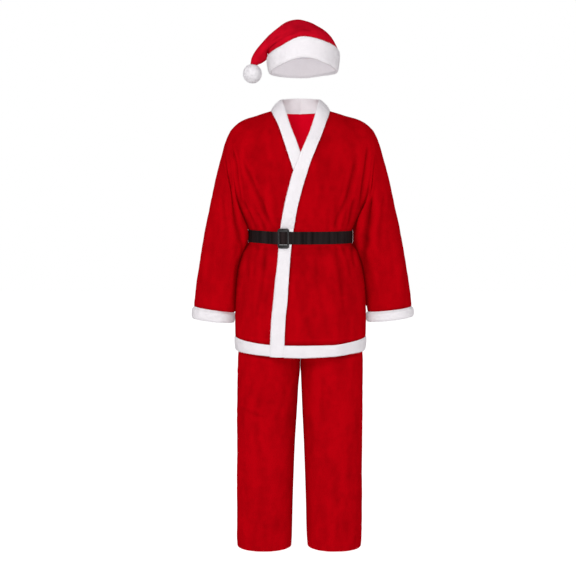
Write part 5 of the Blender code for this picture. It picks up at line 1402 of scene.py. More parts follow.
def make_front(name, hand):
    xs, zs = front_grid(hand)
    top = np.zeros(xs.shape)
    if hand > 0:
        top = over_rise(xs, zs) * (OVER_LIFT - OVER_NEST)
    outer, inner, normals = clad(-1, xs, zs, ("top", "end"), top - WALL, top)
    for grid in (outer, inner):
        grid[0, :, 1] = -SEAM / 2
        grid[UPPER_STEPS:, -1, 1] = -SEAM / 2
    part_armhole(outer, inner, -1, hand)
    inner[0, -1, 1] = -SEAM / 2
    inner[UPPER_STEPS, -1, 1] = -SEAM / 2
    edges = {
        "arm": outer[: UPPER_STEPS + 1, -1].copy(),
        "wrap": (outer[:, 0].copy(), normals[:, 0].copy(), top[:, 0].copy()),
        "hem": (outer[-1].copy(), normals[-1].copy(), top[-1].copy()),
    }
    # painted shade beside the band seam and the hem seam
    shade = edge_dip(outer, ("start", "low"), SEAM_PAINTED_SHADE)
    outer = outer - normals * (SEAM_DIP * edge_dip(outer, ("start", "low")))[..., None]
    hang(shell(name + "_velour", outer, inner, deep=shade), name)
    return edges


def make_back():
    xs, zs = back_grid()
    outer, inner, normals = clad(1, xs, zs, ("top", "start", "end"), -WALL, 0.0)
    neck = np.abs(xs[0]) < NECK_HALF - 1e-6
    for grid in (outer, inner):
        grid[0, ~neck, 1] = SEAM / 2
        grid[UPPER_STEPS:, 0, 1] = SEAM / 2
        grid[UPPER_STEPS:, -1, 1] = SEAM / 2
    for column, hand in ((0, -1), (-1, 1)):
        part_armhole(outer, inner, column, hand)
        inner[0, column, 1] = SEAM / 2
        inner[UPPER_STEPS, column, 1] = SEAM / 2
    across = np.abs(xs[0]) < NECK_HALF + 1e-6
    edges = {
        "arm_right": outer[: UPPER_STEPS + 1, 0].copy(),
        "arm_left": outer[: UPPER_STEPS + 1, -1].copy(),
        "neck": outer[0, across].copy(),
        "hem": (outer[-1].copy(), normals[-1].copy(), np.zeros(outer.shape[1])),
    }
    middle = outer.shape[1] // 2
    halves = (
        ("jacket_back_right", slice(None, middle + 1), -1, "end"),
        ("jacket_back_left", slice(middle, None), 0, "start"),
    )
    for name, columns, seam, side in halves:
        skin = outer[:, columns].copy()
        lining = inner[:, columns].copy()
        skin[:, seam, 0] = 0.0
        lining[:, seam, 0] = 0.0
        dip = BACK_DIP_SHARE * SEAM_DIP * edge_dip(skin, ("low", side), SEAM_DIP_REACH)
        skin = skin - normals[:, columns] * dip[..., None]
        hang(shell(name + "_velour", skin, lining), name)
    return edges


def fold_fade(along):
    """How strong a fold is along its line, from 0 at both ends."""
    return np.sin(math.pi * np.clip(along, 0, 1)) ** FOLD_END_POWER


def wrap_folds(rows, along, around):
    """Folds on a tube, over how far along it and how far around it."""
    total = np.zeros(np.broadcast(along, around).shape)
    for a0, t0, a1, t1, height, width in rows:
        s = np.clip((along - a0) / (a1 - a0), 0, 1)
        total = total + height * fold_fade(s) * ridge((around - (t0 + (t1 - t0) * s)) / width)
    return total


def wrap_lines(rows, along, around):
    """Troughs along curved lines on a tube, given by how far along and around points of each lie."""
    total = np.zeros(np.broadcast(along, around).shape)
    for height, width, points in rows:
        line = pchip(points, 1)
        first = points[0][0]
        last = points[-1][0]
        lean = slope(line, along, TUBE_SLOPE_STEP) * TUBE_LEAN
        away = np.abs(around - line(along)) / np.sqrt(1 + lean ** 2) / width
        fade = ramp(along, first, first + TUBE_LINE_START)
        fade = fade * (1 - ramp(along, last - TUBE_LINE_END * (last - first), last))
        total = total + height * fade * trough(away)
    return total


def tube_normals(rings, closed=False):
    """Outward normals of a tube's skin; closed joins its last ring to its first."""
    wide = np.concatenate([rings[-1:], rings, rings[:1]]) if closed else rings
    normals = grid_normals(wide, ("ring",))
    return outward(normals[1:-1] if closed else normals, rings, rings.mean(axis=1, keepdims=True))


def make_sleeve(name, hand, front_edge, back_edge):
    """A two-piece sleeve: a tube from the armhole's edges down its sections, parted at its two seams."""
    left = hand > 0
    count = 2 * UPPER_STEPS
    stack = np.zeros((len(SLEEVE_ROWS) + 1, count, 3))
    stack[0, 1:UPPER_STEPS] = front_edge[1:-1]
    stack[0, UPPER_STEPS + 1:] = back_edge[1:-1][::-1]
    stack[0, 0] = (front_edge[0] + back_edge[0]) / 2
    stack[0, UPPER_STEPS] = (front_edge[-1] + back_edge[-1]) / 2
    stack[0, :, 0] += hand * SEAM
    turn = turns(count)
    for j, (out_x, out_z, in_x, in_z, deep, back, front_lap, back_lap) in enumerate(SLEEVE_ROWS):
        low = (j + 1) / len(SLEEVE_ROWS)
        flat = 0.0 if left else INNER_FLAT * float(ramp(j, 6, 9))
        if left:
            front_lap *= 1 - LEFT_LAP_FADE * float(ramp(j, 3, 5))
        else:
            in_x -= RIGHT_REACH_IN * float(ramp(j, 8, 12))
        section = (out_x, out_z, in_x, in_z, deep, back)
        stack[j + 1] = oval(section, turn, hand, LEFT_SPREAD * low if left else 0.0, flat)
        lap = front_lap * ridge((turn - FRONT_LOBE_TURN) / FRONT_LOBE_WIDTH)
        lap += back_lap * ridge((turn - BACK_LOBE_TURN) / BACK_LOBE_WIDTH)
        stack[j + 1, :, 0] -= hand * lap
    grid, along = smooth_rows(stack, SLEEVE_STEPS)
    along = along[:, None]
    around = (np.arange(count) / count)[None, :]
    rows = SLEEVE_FOLDS + (LEFT_SLEEVE_CREASES if left else RIGHT_SLEEVE_CREASES)
    start = np.minimum(1.0, along * 8)
    lines = wrap_lines(LEFT_SLEEVE_LINES if left else RIGHT_SLEEVE_LINES, along, around)
    normals = tube_normals(grid)
    grid = grid + normals * (wrap_folds(rows, along, around) * start + lines)[..., None]
    grid = grid + normals * (bumps(grid, SLEEVE_WAVES) * start)[..., None]
    normals = tube_normals(grid)
    inner = grid - normals * WALL
    lean = inner[0] - grid[0]
    lean[:, 0] = np.where(lean[:, 0] * hand < 0, 0.0, lean[:, 0])
    inner[0] = grid[0] + unit(lean) * WALL
    # painted shadow on the left sleeve where it lies behind the front
    painted_sleeve_shadow = wrap_lines(LEFT_SLEEVE_PAINTED_SHADOW, along, around) if left else np.zeros(grid.shape[:2])
    halves = (
        ("_front", np.arange(UPPER_STEPS + 1), -1.0),
        ("_back", np.append(np.arange(UPPER_STEPS, count), 0), 1.0),
    )
    for half, columns, way in halves:
        skin = grid[:, columns].copy()
        lining = inner[:, columns].copy()
        for points in (skin, lining):
            points[:, (0, -1), 1] += way * SEAM / 2
        sides = 0.5 * edge_dip(skin, ("start", "end"), SEAM_DIP_REACH)
        dip = np.maximum(edge_dip(skin, ("low",), SEAM_DIP_REACH), sides)
        skin = skin - normals[:, columns] * (SEAM_DIP * dip)[..., None]
        # painted shade: the painted shadow behind the front, and a darkening beside the cuff seam
        shade = painted_sleeve_shadow[:, columns] + edge_dip(skin, ("low",), SEAM_PAINTED_SHADE)
        item = shell(name + half + "_velour", skin, lining, deep=shade)
        hang(item, name + half)


def oval(section, turn, hand, spread, flat=0.0):
    """Points of an oval section: turn 0 outer, quarter front, half inner, three quarters back.
    With flat above 0 the inner half is squarer."""
    out_x, out_z, in_x, in_z, deep, back = section
    out_x = out_x + spread
    power = np.where(np.cos(turn) < 0, 2 / (2 + flat), 1.0)
    c = squared(np.cos(turn), power)
    x = (out_x + in_x) / 2 + (out_x - in_x) / 2 * c
    z = (out_z + in_z) / 2 + (out_z - in_z) / 2 * c
    return np.stack([hand * x, back - deep * squared(np.sin(turn), power), z], axis=1)


def make_cuff(name, hand, seed):
    """A plush cuff: a rounded band round the sleeve's end, flat where it is sewn on."""
    spread = LEFT_SPREAD if hand > 0 else 0.0
    turn = turns(CUFF_COLUMNS)
    outer = []
    inner = []
    for j, (out_x, out_z, in_x, in_z, deep, wall) in enumerate(CUFF_ROWS):
        rise = LEFT_CUFF_RISE * j / (len(CUFF_ROWS) - 1) if hand > 0 else 0.0
        out_z += rise
        in_z += rise / 2
        outer.append(oval((out_x, out_z, in_x, in_z, deep, CUFF_SET_BACK), turn, hand, spread))
        thin = (out_x - wall, out_z, in_x + wall, in_z, deep - wall, CUFF_SET_BACK)
        inner.append(oval(thin, turn, hand, spread))
    outer, _ = smooth_rows(np.array(outer), CUFF_STEPS)
    inner, _ = smooth_rows(np.array(inner), CUFF_STEPS)
    flat = CUFF_SEWN_FLAT * (1 - ramp(np.arange(CUFF_STEPS), 0, 5))[:, None, None]
    outer = outer + (inner - outer) * flat
    rings = np.concatenate([outer, inner[::-1]], axis=0).transpose(1, 0, 2)
    plush(name, rings, range(CUFF_STEPS + 1), True, seed)


def puff(w):
    """Height of a plush band across its width, from its seam at 0 to its free edge at 1."""
    return puff_curve(w) * (1 - PUFF_END_DROP * ramp(w, PUFF_END, 1.0))


def band_section(middle, normals, low, thick):
    """One full rounded section of a plush band."""
    top = middle + normals * (low + thick * BAND_KEEP * puff(BAND_ACROSS))[:, None]
    back = slice(None, None, -2)
    w = BAND_ACROSS[back]
    under = middle[back] + normals[back] * (low + thick * BAND_KEEP * PUFF_BACK * (2 * w - 1) ** 2)[:, None]
    return np.concatenate([top, under])


def collar_grid(neck):
    """The collar's middle surface, from the wearer's right shoulder round the back to the left."""
    steps = 2 * (len(neck) - 1)
    back = float(neck[:, 1].max()) - COLLAR_BACK_LEAN
    w = BAND_ACROSS[:, None]
    grid = []
    for j in range(steps + 1):
        turn = math.pi * (j / steps - 0.5)
        k = min(j // 2, len(neck) - 2)
        out = np.array([math.sin(turn), math.cos(turn), 0.0])
        toward = np.array([-out[0], -out[1], COLLAR_SEAM_RISE])
        seam = neck[k] + (neck[k + 1] - neck[k]) * (j / 2 - k) + unit(toward) * SEAM * COLLAR_SEAM_GAP
        free_z = NECK_ROWS[0][4] + COLLAR_BACK_RISE * out[1]
        free = np.array([NECK_ROWS[0][2] * out[0], back * out[1], free_z])
        grid.append(seam + (free - seam) * w + out * BAND_BOW * np.sin(math.pi * w))
    grid = np.array(grid)
    grid[(0, -1), :, 1] = SEAM / 2
    return grid


def band_grid(hand, wrap):
    """A front band's middle surface, following the panel's wrap edge and on down past its hem."""
    points, edge_normals, lifts = wrap
    seams = [(p - n * lift, n) for p, n, lift in zip(points, edge_normals, lifts)]
    seam_x = over_seam if hand > 0 else under_seam
    for z in np.linspace(float(points[-1][2]) - BAND_PAST_HEM, BAND_END_Z, BAND_END_ROWS):
        x = float(seam_x(z)) + hand * SEAM / 2
        seams.append((np.array([x, float(skin_y(-1, np.array(x), np.array(z))), z]), edge_normals[-1]))
    w = BAND_ACROSS
    grid = []
    for j, (seam, normal) in enumerate(seams):
        z = float(seam[2])
        free, stand = free_point(hand, z)
        x = seam[0] + (free[0] - seam[0]) * w
        zz = z + (free[2] - z) * w
        near_end = ramp(j, len(seams) - BAND_END_ROWS - 1, len(seams) - 1)
        zz = zz * (1 - near_end) + (hem_low(np.abs(x)) + (z - BAND_END_Z)) * near_end
        straight = seam[1] + (free[1] - seam[1]) * w - BAND_BOW * np.sin(math.pi * w)
        row = np.stack([x, skin_y(-1, x, zz) * (1 - stand) + straight * stand, zz], axis=1)
        lean = seam + np.array([-hand * SEAM, 0, 0]) - row[0]
        grid.append(row + lean * (1 - ramp(w, 0.0, 0.5))[:, None])
    return np.array(grid), np.array([normal for _, normal in seams])


def sewn_normals(normals, edge_normals):
    """A band's normals, turned to its panel's at the seam."""
    near = (1 - ramp(BAND_ACROSS, 0.0, SEWN_NEAR))[None, :, None]
    return normals * (1 - near) + edge_normals[:, None, :] * near


def make_collar(neck):
    """The plush collar round the back of the neck."""
    grid = collar_grid(neck)
    normals = outward(grid_normals(grid, ("top", "low")), grid, COLLAR_CENTRE)
    rings = np.array([band_section(g, n, BAND_LOW, BAND_THICK) for g, n in zip(grid, normals)])
    rings[(0, -1), :, 1] = SEAM / 2
    plush("collar_band", rings, range(rings.shape[1]), False, 31,
          lay=COLLAR_LAY)


def make_band(name, hand, wrap, seed):
    """A plush band down a wrap edge, pressed flat under the belt."""
    grid, edge_normals = band_grid(hand, wrap)
    grid[0, :, 1] = -SEAM / 2
    normals = outward(grid_normals(grid, ("top",)), grid, TRUNK_CENTRE)
    folds = trunk_folds(-1, grid[..., 0], grid[..., 2]) * ramp(BAND_ACROSS, 0.0, 0.5)[None, :]
    normals = sewn_normals(normals, edge_normals)
    grid = grid + normals * folds[..., None]
    rings = []
    for row, row_normals in zip(grid, normals):
        z = float(row[len(BAND_ACROSS) // 2, 2])
        held = 1 - float(off_belt(z, BELT_BANDS_FREE))
        if hand > 0:
            low = BAND_LOW + float(ramp(-z, -CROSS_TOP, -CROSS_FULL)) * OVER_LIFT
            thick = BAND_THICK * (1 - held) + OVER_PRESSED * held
        else:
            low = BAND_LOW + UNDER_PRESSED_LIFT * held
            thick = (BAND_THICK - UNDER_THINNER) * (1 - held) + UNDER_PRESSED * held
        rings.append(band_section(row, row_normals, low, thick))
    rings = np.array(rings)
    rings[0, :, 1] = -SEAM / 2
    plush(name, rings, range(len(BAND_ACROSS) + 1), False, seed)


def make_hem(name, side, hem, hand, seed):
    """A hem trim hung from the lower edge of a panel: the back's (hand 0), or a front's from its band."""
    points, edge_normals, lifts = hem
    top = points - edge_normals * lifts[:, None]
    seam = over_seam if hand > 0 else under_seam
    w = BAND_ACROSS
    grid = []
    for i, (x0, _, z0) in enumerate(top.tolist()):
        half0 = float(trunk_half(z0))
        z = z0 - SEAM + (float(hem_low(min(abs(x0), HEM_LOW_ROWS[-1][0]))) - z0 + SEAM) * w
        x = x0 * (1 + (trunk_half(z) / half0 - 1) * (abs(x0) / half0) ** 2)
        if hand:
            x = x + (seam(z) - float(seam(z0))) * (1 - i / (len(points) - 1)) ** 2
        row = np.stack([x, skin_y(side, x, z), z], axis=1)
        lean = top[i] + np.array([0, 0, -SEAM]) - row[0]
        grid.append(row + lean * (1 - ramp(w, 0.0, HEM_LEANS))[:, None])
    grid = np.array(grid)
    ghosts = ("low",) if hand else ("top", "low")
    normals = sewn_normals(outward(grid_normals(grid, ghosts), grid, HEM_CENTRE), edge_normals)
    thick = BAND_THICK if hand > 0 else BAND_THICK - UNDER_THINNER
    rings = []
    for row, row_normals in zip(grid, normals):
        rise = float(over_rise(row[0, 0], row[0, 2])) * OVER_LIFT if hand > 0 else 0.0
        rings.append(band_section(row, row_normals, BAND_LOW + rise, thick))
    rings = np.array(rings)
    if not hand:
        rings[0, :, 1] = side * SEAM / 2
    rings[-1, :, 1] = side * SEAM / 2
    plush(name, rings, range(len(w) + 1), False, seed)


def belt_rise(x):
    """How much the belt climbs towards the sides, more on the wearer's right."""
    return BELT_END_RISE * float(ramp(abs(x), *BELT_CLIMBS)) * (1.0 if x < 0 else BELT_LEFT_SHARE)


def waist_point(x, side, stand, z):
    """A point off the cinched waist, at x on the front (side -1) or the back (side +1)."""
    deep = BELT_F if side < 0 else BELT_B
    share = max(0.0, 1 - (abs(x) / BELT_W) ** SECTION_POWER)
    y = deep * share ** (1 / SECTION_POWER)
    nx = abs(x) ** (SECTION_POWER - 1) / BELT_W ** SECTION_POWER
    ny = y ** (SECTION_POWER - 1) / deep ** SECTION_POWER
    length = math.hypot(nx, ny)
    sign = math.copysign(1.0, x) if x else 0.0
    return np.array([x + sign * nx / length * stand, side * (y + ny / length * stand), z + belt_rise(x)])


def waist_x(degrees):
    """x of the cinched waist at an angle from the wearer's left."""
    return BELT_W * float(squared(math.cos(math.radians(degrees)), 2 / SECTION_POWER))


def make_belt():
    """One strap: from its free end over the buckle, round the back, and in under itself."""
    path = [(x, -1, float(over_stand(x))) for x in np.arange(*STRAP_OVER, -BELT_STEP)]
    path += [(-waist_x(a), -1, BELT_STAND) for a in np.arange(STRAP_OVER_ANGLE, -0.1, -BELT_TURN)]
    path += [(-waist_x(a), 1, BELT_STAND) for a in np.arange(BELT_TURN, 180, BELT_TURN)]
    path += [(waist_x(a), -1, BELT_STAND) for a in np.arange(0, STRAP_UNDER_ANGLE, BELT_TURN)]
    path += [(x, -1, float(under_stand(x))) for x in np.arange(*STRAP_UNDER, -BELT_STEP)]
    across = np.linspace(-1, 1, BELT_LANES)
    lanes = [(u, BELT_THICK - BELT_EDGE * abs(u) ** 12) for u in across]
    lanes += [(u, BELT_EDGE * abs(u) ** 12) for u in across[::-2]]
    rings = [[waist_point(x, side, stand + high, BELT_MID + BELT_HALF * u) for u, high in lanes]
             for x, side, stand in path]
    item = sweep("belt_webbing", np.array(rings), WEBBING)
    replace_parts(item, "belt_strap")


def rounded_path(half_x, half_z, radius, corner=FRAME_CORNER_PARTS, side=FRAME_SIDE_PART):
    """Points round a rectangle with rounded corners, and their outward directions."""
    points = []
    for cx, cz, start in ((1, 1, 0), (-1, 1, 90), (-1, -1, 180), (1, -1, 270)):
        for degrees in np.linspace(start, start + 90, corner + 1):
            out = np.array([math.cos(math.radians(degrees)), math.sin(math.radians(degrees))])
            middle = np.array([cx * (half_x - radius), cz * (half_z - radius)])
            points.append(np.concatenate([middle + radius * out, out]))
    dense = []
    for p, q in zip(points, points[1:] + points[:1]):
        parts = max(1, int(np.linalg.norm(q[:2] - p[:2]) / side))
        dense += [p + (q - p) * part / parts for part in range(parts)]
    return dense


def make_buckle():
    """A moulded frame with rounded edges and a set-back centre bar, bent to the waist."""
    rings = []
    for x, z, nx, nz in rounded_path(FRAME_HALF_X, FRAME_HALF_Z, FRAME_CORNER):
        end = float(ramp(abs(nz), 0.5, 1.0))
        ring = []
        for a in turns(16):
            c = float(squared(math.cos(a), FRAME_POWER))
            s = float(squared(math.sin(a), FRAME_POWER))
            broad = end * (FRAME_OUT_BROAD if c > 0 else FRAME_TOP_BROAD if nz > 0 else FRAME_LOW_BROAD)
            dx = x + nx * FRAME_WIDE * c
            dz = z + nz * FRAME_WIDE * c * (1 + broad) - FRAME_LOWER
            ring.append(waist_point(BUCKLE_X + dx, -1, FRAME_STAND + FRAME_THICK * s, BELT_MID + dz))
        rings.append(ring)
    frame_item = sweep("belt_buckle_frame", np.array(rings), PLASTIC, closed=True, sharp=40)
    rings = []
    for dz in np.linspace(*BAR_ENDS, 26):
        stand = BAR_STAND + (0.0 if BAR_LOW[0] < dz < BAR_LOW[1] else BAR_END_RISE)
        rings.append([waist_point(BUCKLE_X + BAR_HALF * math.cos(a), -1, stand + BAR_THICK * math.sin(a),
                                  BELT_MID + dz) for a in turns(12)])
    sweep("belt_buckle_bar", np.array(rings), PLASTIC)
    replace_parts(frame_item, "belt_buckle")


def strand(path, radius, sides=6):
    """Rings of a thin thread along a path of points."""
    path = np.array(path, float)
    ahead = unit(np.gradient(path, axis=0))
    first = unit(np.cross(ahead, np.array(THREAD_ASIDE)))
    second = np.cross(ahead, first)
    turn = turns(sides)[None, :, None]
    return path[:, None] + (first[:, None] * np.cos(turn) + second[:, None] * np.sin(turn)) * radius


def joined_tubes(name, tubes, finish):
    """Many thin swept tubes as one mesh."""
    quads = []
    caps = []
    base = 0
    for rings in tubes:
        stations, count = rings.shape[:2]
        index = base + np.arange(stations * count).reshape(stations, count)
        quads.append(quads_of(np.hstack([index, index[:, :1]])))
        caps.append(np.stack([index[0][::-1], index[-1]]))
        base += stations * count
    verts = np.vstack([rings.reshape(-1, 3) for rings in tubes])
    return add_piece(name, verts, [np.vstack(quads), np.vstack(caps)], finish)


def make_loop(name, hand):
    """A twist of two threads over the belt at a side seam, its ends sewn in to the cloth."""
    stand = BELT_STAND + BELT_THICK + SEAM
    t = np.linspace(0, 1, 60)
    dz = (BELT_HALF + LOOP_PAST_BELT) * np.cos(math.pi * t)
    out = BELT_W + stand + LOOP_CLEAR - (stand + LOOP_SEWN_IN) * (1 - np.sin(math.pi * t) ** 0.25)
    rise = BELT_END_RISE * (1.0 if hand < 0 else BELT_LEFT_SHARE)
    tubes = []
    for phase in (0.0, math.pi):
        twist = 2 * math.pi * LOOP_TURNS * t + phase
        x = out + LOOP_OUT * np.cos(twist) ** 2
        path = np.stack([hand * x, LOOP_WIDE * np.sin(twist), BELT_MID + rise + dz], axis=1)
        tubes.append(strand(path, RIGHT_THREAD if hand < 0 else LEFT_THREAD))
    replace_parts(joined_tubes(name + "_thread", tubes, THREAD), name)


def leg_grid(hand, outer, inner):
    """share 0 is the front edge, a half the outer side, 1 the back edge."""
    z = LEG_LEVELS[:, None]
    share = (np.arange(LEG_COLUMNS + 1) / LEG_COLUMNS)[None, :]
    out_x = outer(z)
    in_x = inner(z)

    def section(turn, middle, half, power):
        s = squared(np.sin(turn), 2 / power)
        x = middle + half * squared(np.cos(turn), 2 / power)
        return x, -np.where(s > 0, leg_front(z), leg_back(z)) * s

    hip_x, hip_y = section(math.pi * (0.5 - share), 0.0, out_x, HIP_POWER)
    leg_x, leg_y = section(2 * math.pi * (0.5 - share), (out_x + in_x) / 2, (out_x - in_x) / 2, LEG_POWER)
    along = np.clip((RISE_START - z) / (RISE_START - CROTCH), 0, 1)
    mix = 1 - np.sqrt(np.maximum(0.0, 1 - along ** 2))
    x = hip_x + (leg_x - hip_x) * mix
    y = hip_y + (leg_y - hip_y) * mix
    return np.stack([hand * np.maximum(x, TOUCH), y, np.broadcast_to(z, x.shape)], axis=2)


def hem_stitches(name, grid, normals):
    """A row of red stitches round a trouser hem, each a short thread sunk at both ends."""
    row = int(np.argmin(np.abs(LEG_LEVELS - HEM_STITCH_Z)))
    line = grid[row] - normals[row] * STITCH_SET_IN
    reach = np.concatenate([[0.0], np.cumsum(np.linalg.norm(np.diff(line, axis=0), axis=1))])
    tubes = []
    for start in np.arange(STITCH_START, reach[-1] - STITCH_END_LEFT, STITCH_STEP):
        spots = np.linspace(start, start + STITCH_LENGTH, len(STITCH_RISE))
        path, facing = (np.stack([np.interp(spots, reach, run[:, m]) for m in range(3)], axis=1)
                        for run in (line, normals[row]))
        tubes.append(strand(path + facing * np.array(STITCH_RISE)[:, None], STITCH_RADIUS, 4))
    joined_tubes(name + "_hem_stitching", tubes, RED_THREAD)


def make_leg(name, hand):
    """A trouser leg: one panel round the leg, joined at the inseam and, above it, at the centre seams."""
    left = hand > 0
    inside = pchip(LEG_ROWS, 4 if left else 2)
    grid = leg_grid(hand, pchip(LEG_ROWS, 3 if left else 1), lambda z: inside(z) * ramp(-z, *LEGS_PART))
    folds = LEFT_LEG_FOLDS + LEFT_LEG_CREASES if left else RIGHT_LEG_FOLDS + RIGHT_LEG_CREASES
    centre = (hand * 0.1, 0, -0.9)
    z = grid[..., 2]
    share = np.broadcast_to((np.arange(LEG_COLUMNS + 1) / LEG_COLUMNS)[None, :], z.shape)
    edge = ramp(np.minimum(share, 1 - share), 0.0, LEG_EDGE_FREE)
    height = bumps(grid, LEG_WAVES) + wrap_folds(folds, z, share)
    grid = grid + outward(grid_normals(grid), grid, centre) * (height * edge)[..., None]
    normals = outward(grid_normals(grid), grid, centre)
    inner = grid - normals * WALL
    upper = LEG_LEVELS > CROTCH
    for i, sign in ((0, -1.0), (LEG_COLUMNS, 1.0)):
        grid[upper, i, 0] = hand * SEAM / 2
        lean = inner[upper, i] - grid[upper, i]
        lean[:, 0] = 0.0
        lean[:, 1] = -sign * np.abs(lean[:, 1])
        inner[upper, i] = grid[upper, i] + unit(lean) * WALL
        shut = upper & (grid[:, i, 1] * sign < 2 * WALL)
        grid[shut, i, 1] = sign * 2 * WALL
        inner[shut, i, 1] = sign * WALL
        grid[~upper, i, 1] = sign * SEAM / 2
        inner[~upper, i] = grid[~upper, i] + np.array([hand * WALL, 0, 0])
    dip = SEAM_DIP * 0.5 * edge_dip(grid, ("start", "end"), LEG_DIP_REACH)
    dip = dip + HEM_STITCH_DIP * np.exp(-(((z - HEM_STITCH_Z) / HEM_STITCH_WIDE) ** 2))
    for i in (0, LEG_COLUMNS):
        grid[upper, i, 0] = hand * TOUCH
    hang(shell(name + "_velour", grid - normals * dip[..., None], inner), name)
    hem_stitches(name, grid, normals)


def make_waistband():
    """The elastic casing at the top of the trousers, gathered in fine ripples."""
    walls = ([], [])
    for j, z in enumerate(np.linspace(*CASING_Z, CASING_ROWS)):
        rings = ([], [])
        for turn in turns(CASING_COLUMNS):
            c = math.cos(turn)
            x = BELT_W * float(squared(c, 2 / SECTION_POWER))
            side = -1 if math.sin(turn) < 0 else 1
            wave = math.sin(turn * 48 + 2 * math.sin(turn * 5)) * math.sin(math.pi * (j + 0.5) / CASING_ROWS)
            for ring, inset in zip(rings, CASING_INSETS):
                ring.append(waist_point(x, side, CASING_RIPPLE * wave - inset, z))
        for wall, ring in zip(walls, rings):
            wall.append(ring)
    item = shell("waistband_casing", np.array(walls[0]), np.array(walls[1]), ring=True)
    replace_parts(item, "waistband")


def make_crown():
    """The cone: sewn on the band's top edge, bent over to the wearer's right, closed at its tip."""
    around = np.arange(CROWN_COLUMNS) / CROWN_COLUMNS
    turn = 2 * math.pi * around
    stack = [np.stack([
        RIM_MID_X + (RIM_HALF_X + CROWN_OVERHANG) * np.cos(turn),
        -(RIM_HALF_Y + CROWN_OVERHANG) * np.sin(turn),
        band_top_z(360.0 - 360.0 * around) + SEAM,
    ], axis=1)]
    for row in CROWN_ROWS:
        ring = oval(row[:6], turn, 1.0, 0.0)
        ring[:, 2] += row[6] * np.sin(turn) + row[7] * np.sin(turn) ** 2
        stack.append(ring)
    grid, along = smooth_rows(np.array(stack), CROWN_STEPS)
    along = along[:, None]
    height = wrap_folds(CROWN_FOLDS + CROWN_CREASES, along, around[None, :])
    height = height + bumps(grid, CROWN_WAVES) * ramp(along, 0.0, CROWN_UNEVEN_FROM)
    grid = grid + tube_normals(grid) * height[..., None]
    normals = tube_normals(grid)
    inner = grid - normals * (CROWN_WALL * (1 - CROWN_THINNER * ramp(along, *CROWN_THINS)))[..., None]
    inner[0] = grid[0] + np.stack([-np.cos(turn), np.sin(turn), 0 * turn], axis=1) * CROWN_WALL
    tip = np.array(POMPOM_CENTRE) + np.array([0, 0, POMPOM_CORE + SEAM + TIP_CLEAR])
    outer_end = tip + (grid[-1:] - tip) * TIP_SHARE
    grid = np.concatenate([grid, outer_end])
    inner = np.concatenate([inner, outer_end + np.array([0, 0, CROWN_WALL])])
    normals = np.concatenate([normals, normals[-1:]])
    skin = grid - normals * (SEAM_DIP * edge_dip(grid, ("top",)))[..., None]
    # painted shade along the crown's seam to the band
    shade = CROWN_PAINTED_SHADE_SHARE * edge_dip(grid, ("top",), SEAM_PAINTED_SHADE)
    item = shell("hat_crown_velour", skin, inner, HAT_VELOUR, ring=True, lining=HAT_LINING, deep=shade)
    hang(item, "hat_crown")


def make_hat_band():
    """The plush band: a full rounded section round the brow, arched up at the front."""
    shares = 0.5 - 0.5 * np.cos(np.linspace(0, math.pi, HAT_BAND_LANES))
    back = shares[::-2]
    fat = np.concatenate([HAT_BAND_THICK * BAND_KEEP * hat_band_swell(shares),
                          -HAT_BAND_INSIDE * (1 - (2 * back - 1) ** 2) - HAT_BAND_WALL])
    share = np.concatenate([shares, back])
    half_x = RIM_HALF_X - HAT_BAND_DRAW_X * (1 - share) + fat
    half_y = RIM_HALF_Y - HAT_BAND_DRAW_Y * (1 - share) + fat
    rings = []
    for part in np.arange(HAT_BAND_COLUMNS) / HAT_BAND_COLUMNS:
        turn = 2 * math.pi * part
        low = float(band_low_z(360.0 - 360.0 * part))
        top = float(band_top_z(360.0 - 360.0 * part))
        rings.append(np.stack([
            RIM_MID_X + HAT_BAND_SHIFT * (1 - share) + half_x * math.cos(turn),
            -half_y * math.sin(turn),
            low + (top - low) * share,
        ], axis=1))
    lanes = [26, 27, 28] + list(range(0, 20))
    plush("hat_band", np.array(rings), lanes, True, 51)


def make_pompom():
    """A full round pompom: a stuffed core and its pile, thick all round."""
    polar = (math.pi * (np.arange(POMPOM_ROWS) + 0.5) / POMPOM_ROWS)[:, None]
    turn = turns(POMPOM_COLUMNS)[None, :]
    sides = np.sin(polar)
    ball = np.stack([sides * np.cos(turn), sides * np.sin(turn), np.cos(polar) + 0 * turn], axis=2)
    uneven = bumps(ball * POMPOM_WAVES_BALL, POMPOM_WAVES)
    rings = np.array(POMPOM_CENTRE) + ball * (POMPOM_CORE + POMPOM_PLUMP + uneven)[..., None]
    core = sweep("pompom_core", rings, PUFF)
    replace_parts(core, "pompom")
    skin = np.concatenate([rings, rings[:, :1]], axis=1)
    facing = np.concatenate([ball, ball[:, :1]], axis=1)
    pile("pompom_pile", skin, facing, POMPOM_DENSITY, POMPOM_PILE, 62, POMPOM_LAY, POMPOM_HAIR, PUFF)


def set_inputs(tree, made, inputs):
    """Give a node's inputs their values, or the outputs that feed them."""
    for place, value in inputs.items():
        if isinstance(value, bpy.types.NodeSocket):
            tree.links.new(value, made.inputs[place])
        else:
            made.inputs[place].default_value = value


def node(tree, kind, inputs=None, **settings):
    """A new node with its settings and its inputs, by name or by place."""
    made = tree.nodes.new("ShaderNode" + kind)
    for name, value in settings.items():
        setattr(made, name, value)
    set_inputs(tree, made, inputs or {})
    return made


def noise_at(tree, size, detail, stretch=(1, 1, 1), seat=(0, 0, 0)):
    """Soft noise in the object's own coordinates, size in metres."""
    place = node(tree, "TexCoord").outputs["Object"]
    moved = node(tree, "Mapping", {"Vector": place, "Scale": stretch, "Location": seat}).outputs["Vector"]
    return node(tree, "TexNoise", {"Vector": moved, "Scale": 1 / size, "Detail": detail}).outputs["Fac"]


def sum_of(tree, parts, start=0.0):
    """Add several values, each times its weight, to start."""
    total = start
    for socket, weight in parts:
        total = node(tree, "Math", {0: socket, 1: weight, 2: total}, operation="MULTIPLY_ADD").outputs[0]
    return total


def spread(tree, socket, low, high):
    """Stretch a value so that low gives 0 and high gives 1."""
    return node(tree, "MapRange", {"Value": socket, "From Min": low, "From Max": high}).outputs["Result"]


